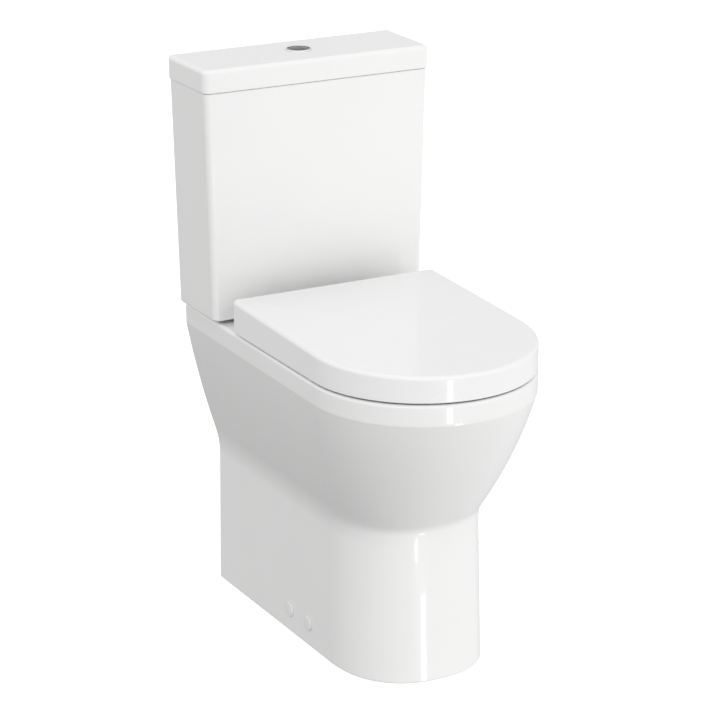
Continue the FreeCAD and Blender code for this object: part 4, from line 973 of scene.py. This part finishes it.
def make_ring():
    """The seat ring: rolled edges, a ribbed channel below, and the lugs on the hinge pins."""
    low, high = RING_Z
    axis_y, axis_z = SEAT_AXIS
    back = axis_y + 8
    roll_z = high - RING_FALL

    def outer(z, shrink):
        corner = RING_INSET + 6
        return seat_ring_line(z, RING_INSET + shrink, back - min(shrink, 2.0), corner)

    def inner(z, grow):
        return hole_line(outer(0, 0), grow, z)

    rings = [outer(low, 1.0), outer(low + 1.0, 0)]
    for z in heights((low + 4, high - RING_EDGE, 4)):
        rings.append(outer(z, 0))
    for s, c in quarter(8):
        rings.append(outer(high - RING_EDGE * (1 - s), RING_EDGE * c))
    start = outer(0, RING_EDGE)
    end = inner(0, RING_ROLL)
    top_steps = 8
    for i in range(1, top_steps):
        t = i / top_steps
        z = high - RING_FALL * t * t
        rings.append([(between(a[0], b[0], t), between(a[1], b[1], t), z) for a, b in zip(start, end)])
    for s, c in quarter(7):
        rings.append(inner(roll_z - RING_ROLL * c, RING_ROLL * (1 - s)))
    for z in heights((roll_z - RING_ROLL - 2, low + 1.5, 3)):
        rings.append(inner(z, 0))
    rings.append(inner(low, 1.2))
    ring = loft("seat_ring_moulding", rings, closed=True)

    lowest = low - 3
    ceiling = high - RING_TOP_WALL
    channel = loft("tool", [
        outer(lowest, RING_WALL),
        outer(ceiling, RING_WALL),
        inner(ceiling, RING_WALL),
        inner(lowest, RING_WALL),
    ], closed=True)
    combine(ring, "DIFFERENCE", [combine(channel, "DIFFERENCE", ring_ribs(lowest - 1, high))])

    step_y = axis_y - 14
    cuts = [block(-HINGE_GAP_HALF, HINGE_GAP_HALF, step_y, back + 3, low - 2, high + 2)]
    for side in (-1, 1):
        cuts.append(block(side * 100, side * 175, axis_y - 26, back + 3, low - 2, axis_z - 12))
    combine(ring, "DIFFERENCE", cuts)
    lugs = [
        block(-54, 54, step_y - 3, axis_y - 9.5, low, axis_z - 9),
        block(-DAMPER_LUG_X[0], -DAMPER_LUG_X[1], step_y - 3, axis_y + 7, low + 4, axis_z),
    ]
    for side in (-1, 1):
        x0, x1 = (side * (HINGE_X + gap) for gap in RING_LUG_X)
        lugs.append(block(x0, x1, step_y - 3, axis_y, axis_z - 8, high - 0.3))
        lugs.append(bar(HINGE_LUG_R, SEAT_AXIS, x0, x1, "x"))
    combine(ring, "UNION", lugs)
    combine(ring, "DIFFERENCE", [
        bar(DAMPER_HOLE_R, SEAT_AXIS, -DAMPER_BORE_X[1], -DAMPER_BORE_X[0], "x"),
        bar(PIN_HOLE_R, SEAT_AXIS, -PIN_BORE_X, PIN_BORE_X, "x", 32),
    ])
    dress(ring, "seat_ring", "seat_ring")


def ring_ribs(z0, z1):
    """What the channel leaves standing: a solid back, and ribs that fan out from the centre."""
    ribs = [block(-200, 200, 40, 140, z0, z1)]
    centre = Vector((*SEAT_CENTRE, 0))
    for turn in range(-75, 76, 25):
        a = math.radians(turn - 90)
        along = Vector((math.cos(a), math.sin(a), 0))
        side = Vector((-along.y, along.x, 0)) * 2
        reach = along * 400
        corners = (centre - side, centre + side, centre + side + reach, centre - side + reach)
        ribs.append(loft("tool", [[(p.x, p.y, z) for p in corners] for z in (z0, z1)]))
    return ribs


make_pan()
make_caps()
make_cistern()
make_lid()
make_bezel()
make_button_half("full_flush_cap", "full_button", "full_flush_button", 1, FULL_ROD)
make_button_half("half_flush_cap", "half_button", "half_flush_button", -1, HALF_ROD)
make_cover()
make_cover_buffers()
make_ring()


# ---------------------------------------------------------------- floor, lights and camera
AIR_LEVEL = 1.01                        # brightness of the air at the horizon
AIR_TOWARDS = (-0.08, -0.22, 0)         # what it gains towards +X and +Y
AIR_ABOVE = -0.01                       # and by straight up
BELOW_LEVEL = -0.70                     # and by straight down, where a floor would be,
BELOW_TOWARDS = (0.95, -0.10, 0)        # with what that changes towards +X and +Y
FLOOR_LIFT = 0.4                        # the floor's own glow, so that it shows as white as the air
FLOOR_REACH = 9000.0
CAMERA_AT = (-1.9585, -3.5857, 1.8043)  # in metres
CAMERA_LOOKS = (0.44972, 0.83441, -0.31864)
CAMERA_LENS = 147.198
CARD_STRENGTH = 5.0


def flat_sheet(name, x, y):
    """A rectangle from -x to x and from -y to y."""
    return mesh_object(name, [(-x, -y, 0), (x, -y, 0), (x, y, 0), (-x, y, 0)], [(0, 1, 2, 3)])


def make_floor():
    """A pale floor. It catches shadows but throws no light back on the toilet."""
    material, tree, shader = node_material(
        "pale_floor", (0.93, 0.93, 0.93), Roughness=0.9, Specular_IOR_Level=0.0,
        Emission_Color=(1, 1, 1, 1), Emission_Strength=FLOOR_LIFT)
    vary_colour(tree, shader, texture_noise(tree, 1.5), (0.925, 0.925, 0.925), (0.935, 0.935, 0.935))
    floor = flat_sheet("floor_plane", FLOOR_REACH, FLOOR_REACH)
    floor.data.materials.append(material)
    floor.visible_diffuse = False
    floor.visible_glossy = False
    floor.visible_shadow = False


def reflector(name, centre, aim, width, height):
    """A bright card, in metres, that only shows in reflections."""
    material = bpy.data.materials.new(name)
    material.use_nodes = True
    tree = material.node_tree
    tree.nodes.clear()
    glow = tree.nodes.new("ShaderNodeEmission")
    glow.inputs["Strength"].default_value = CARD_STRENGTH
    end = tree.nodes.new("ShaderNodeOutputMaterial")
    tree.links.new(glow.outputs["Emission"], end.inputs["Surface"])
    material.cycles.emission_sampling = "FRONT_BACK"
    card = flat_sheet(name, width / 2 / MM, height / 2 / MM)
    card.data.materials.append(material)
    card.location = centre
    card.rotation_euler = (Vector(aim) - Vector(centre)).to_track_quat("-Z", "Y").to_euler()
    card.visible_camera = False
    card.visible_diffuse = False
    card.visible_shadow = False


def calculated(tree, operation, first, second):
    """The output of a Math node on two sockets or numbers."""
    node = tree.nodes.new("ShaderNodeMath")
    node.operation = operation
    for socket, value in zip(node.inputs, (first, second)):
        if isinstance(value, (int, float)):
            socket.default_value = value
        else:
            tree.links.new(value, socket)
    return node.outputs["Value"]


def leaning(tree, way, direction):
    """How far the way looked in leans towards a direction."""
    lean = tree.nodes.new("ShaderNodeVectorMath")
    lean.operation = "DOT_PRODUCT"
    lean.inputs[1].default_value = direction
    tree.links.new(way.outputs["Generated"], lean.inputs[0])
    return lean.outputs["Value"]


def make_studio():
    """Soft light from all round, which depends only on the direction, and two cards for the gloss."""
    world = bpy.data.worlds.new("studio_air")
    bpy.context.scene.world = world
    world.use_nodes = True
    tree = world.node_tree
    air = tree.nodes["Background"]
    air.inputs["Color"].default_value = (1, 1, 1, 1)
    way = tree.nodes.new("ShaderNodeTexCoord")
    axes = tree.nodes.new("ShaderNodeSeparateXYZ")
    tree.links.new(way.outputs["Generated"], axes.inputs["Vector"])
    height = axes.outputs["Z"]
    above = calculated(tree, "MAXIMUM", height, 0)
    below = calculated(tree, "MAXIMUM", calculated(tree, "MULTIPLY", height, -1), 0)
    level = calculated(tree, "ADD", leaning(tree, way, AIR_TOWARDS), AIR_LEVEL)
    level = calculated(tree, "ADD", level, calculated(tree, "MULTIPLY", above, AIR_ABOVE))
    floor_level = calculated(tree, "ADD", leaning(tree, way, BELOW_TOWARDS), BELOW_LEVEL)
    level = calculated(tree, "ADD", level, calculated(tree, "MULTIPLY", below, floor_level))
    tree.links.new(calculated(tree, "MAXIMUM", level, 0), air.inputs["Strength"])
    reflector("seat_strip", (-0.044, -3.30, -0.54), (0, 0, 0.45), 0.30, 0.60)
    reflector("plinth_strip", (0.52, -3.30, -1.26), (0, 0, 0.10), 0.42, 0.55)


def make_camera():
    lens = bpy.data.cameras.new("view")
    lens.lens = CAMERA_LENS
    lens.sensor_width = 36.0
    lens.clip_end = 60.0
    camera = bpy.data.objects.new("view", lens)
    bpy.context.scene.collection.objects.link(camera)
    camera.location = CAMERA_AT
    camera.rotation_euler = Vector(CAMERA_LOOKS).to_track_quat("-Z", "Y").to_euler()
    bpy.context.scene.camera = camera


make_floor()
make_studio()
make_camera()
bpy.context.scene.view_settings.view_transform = "Standard"
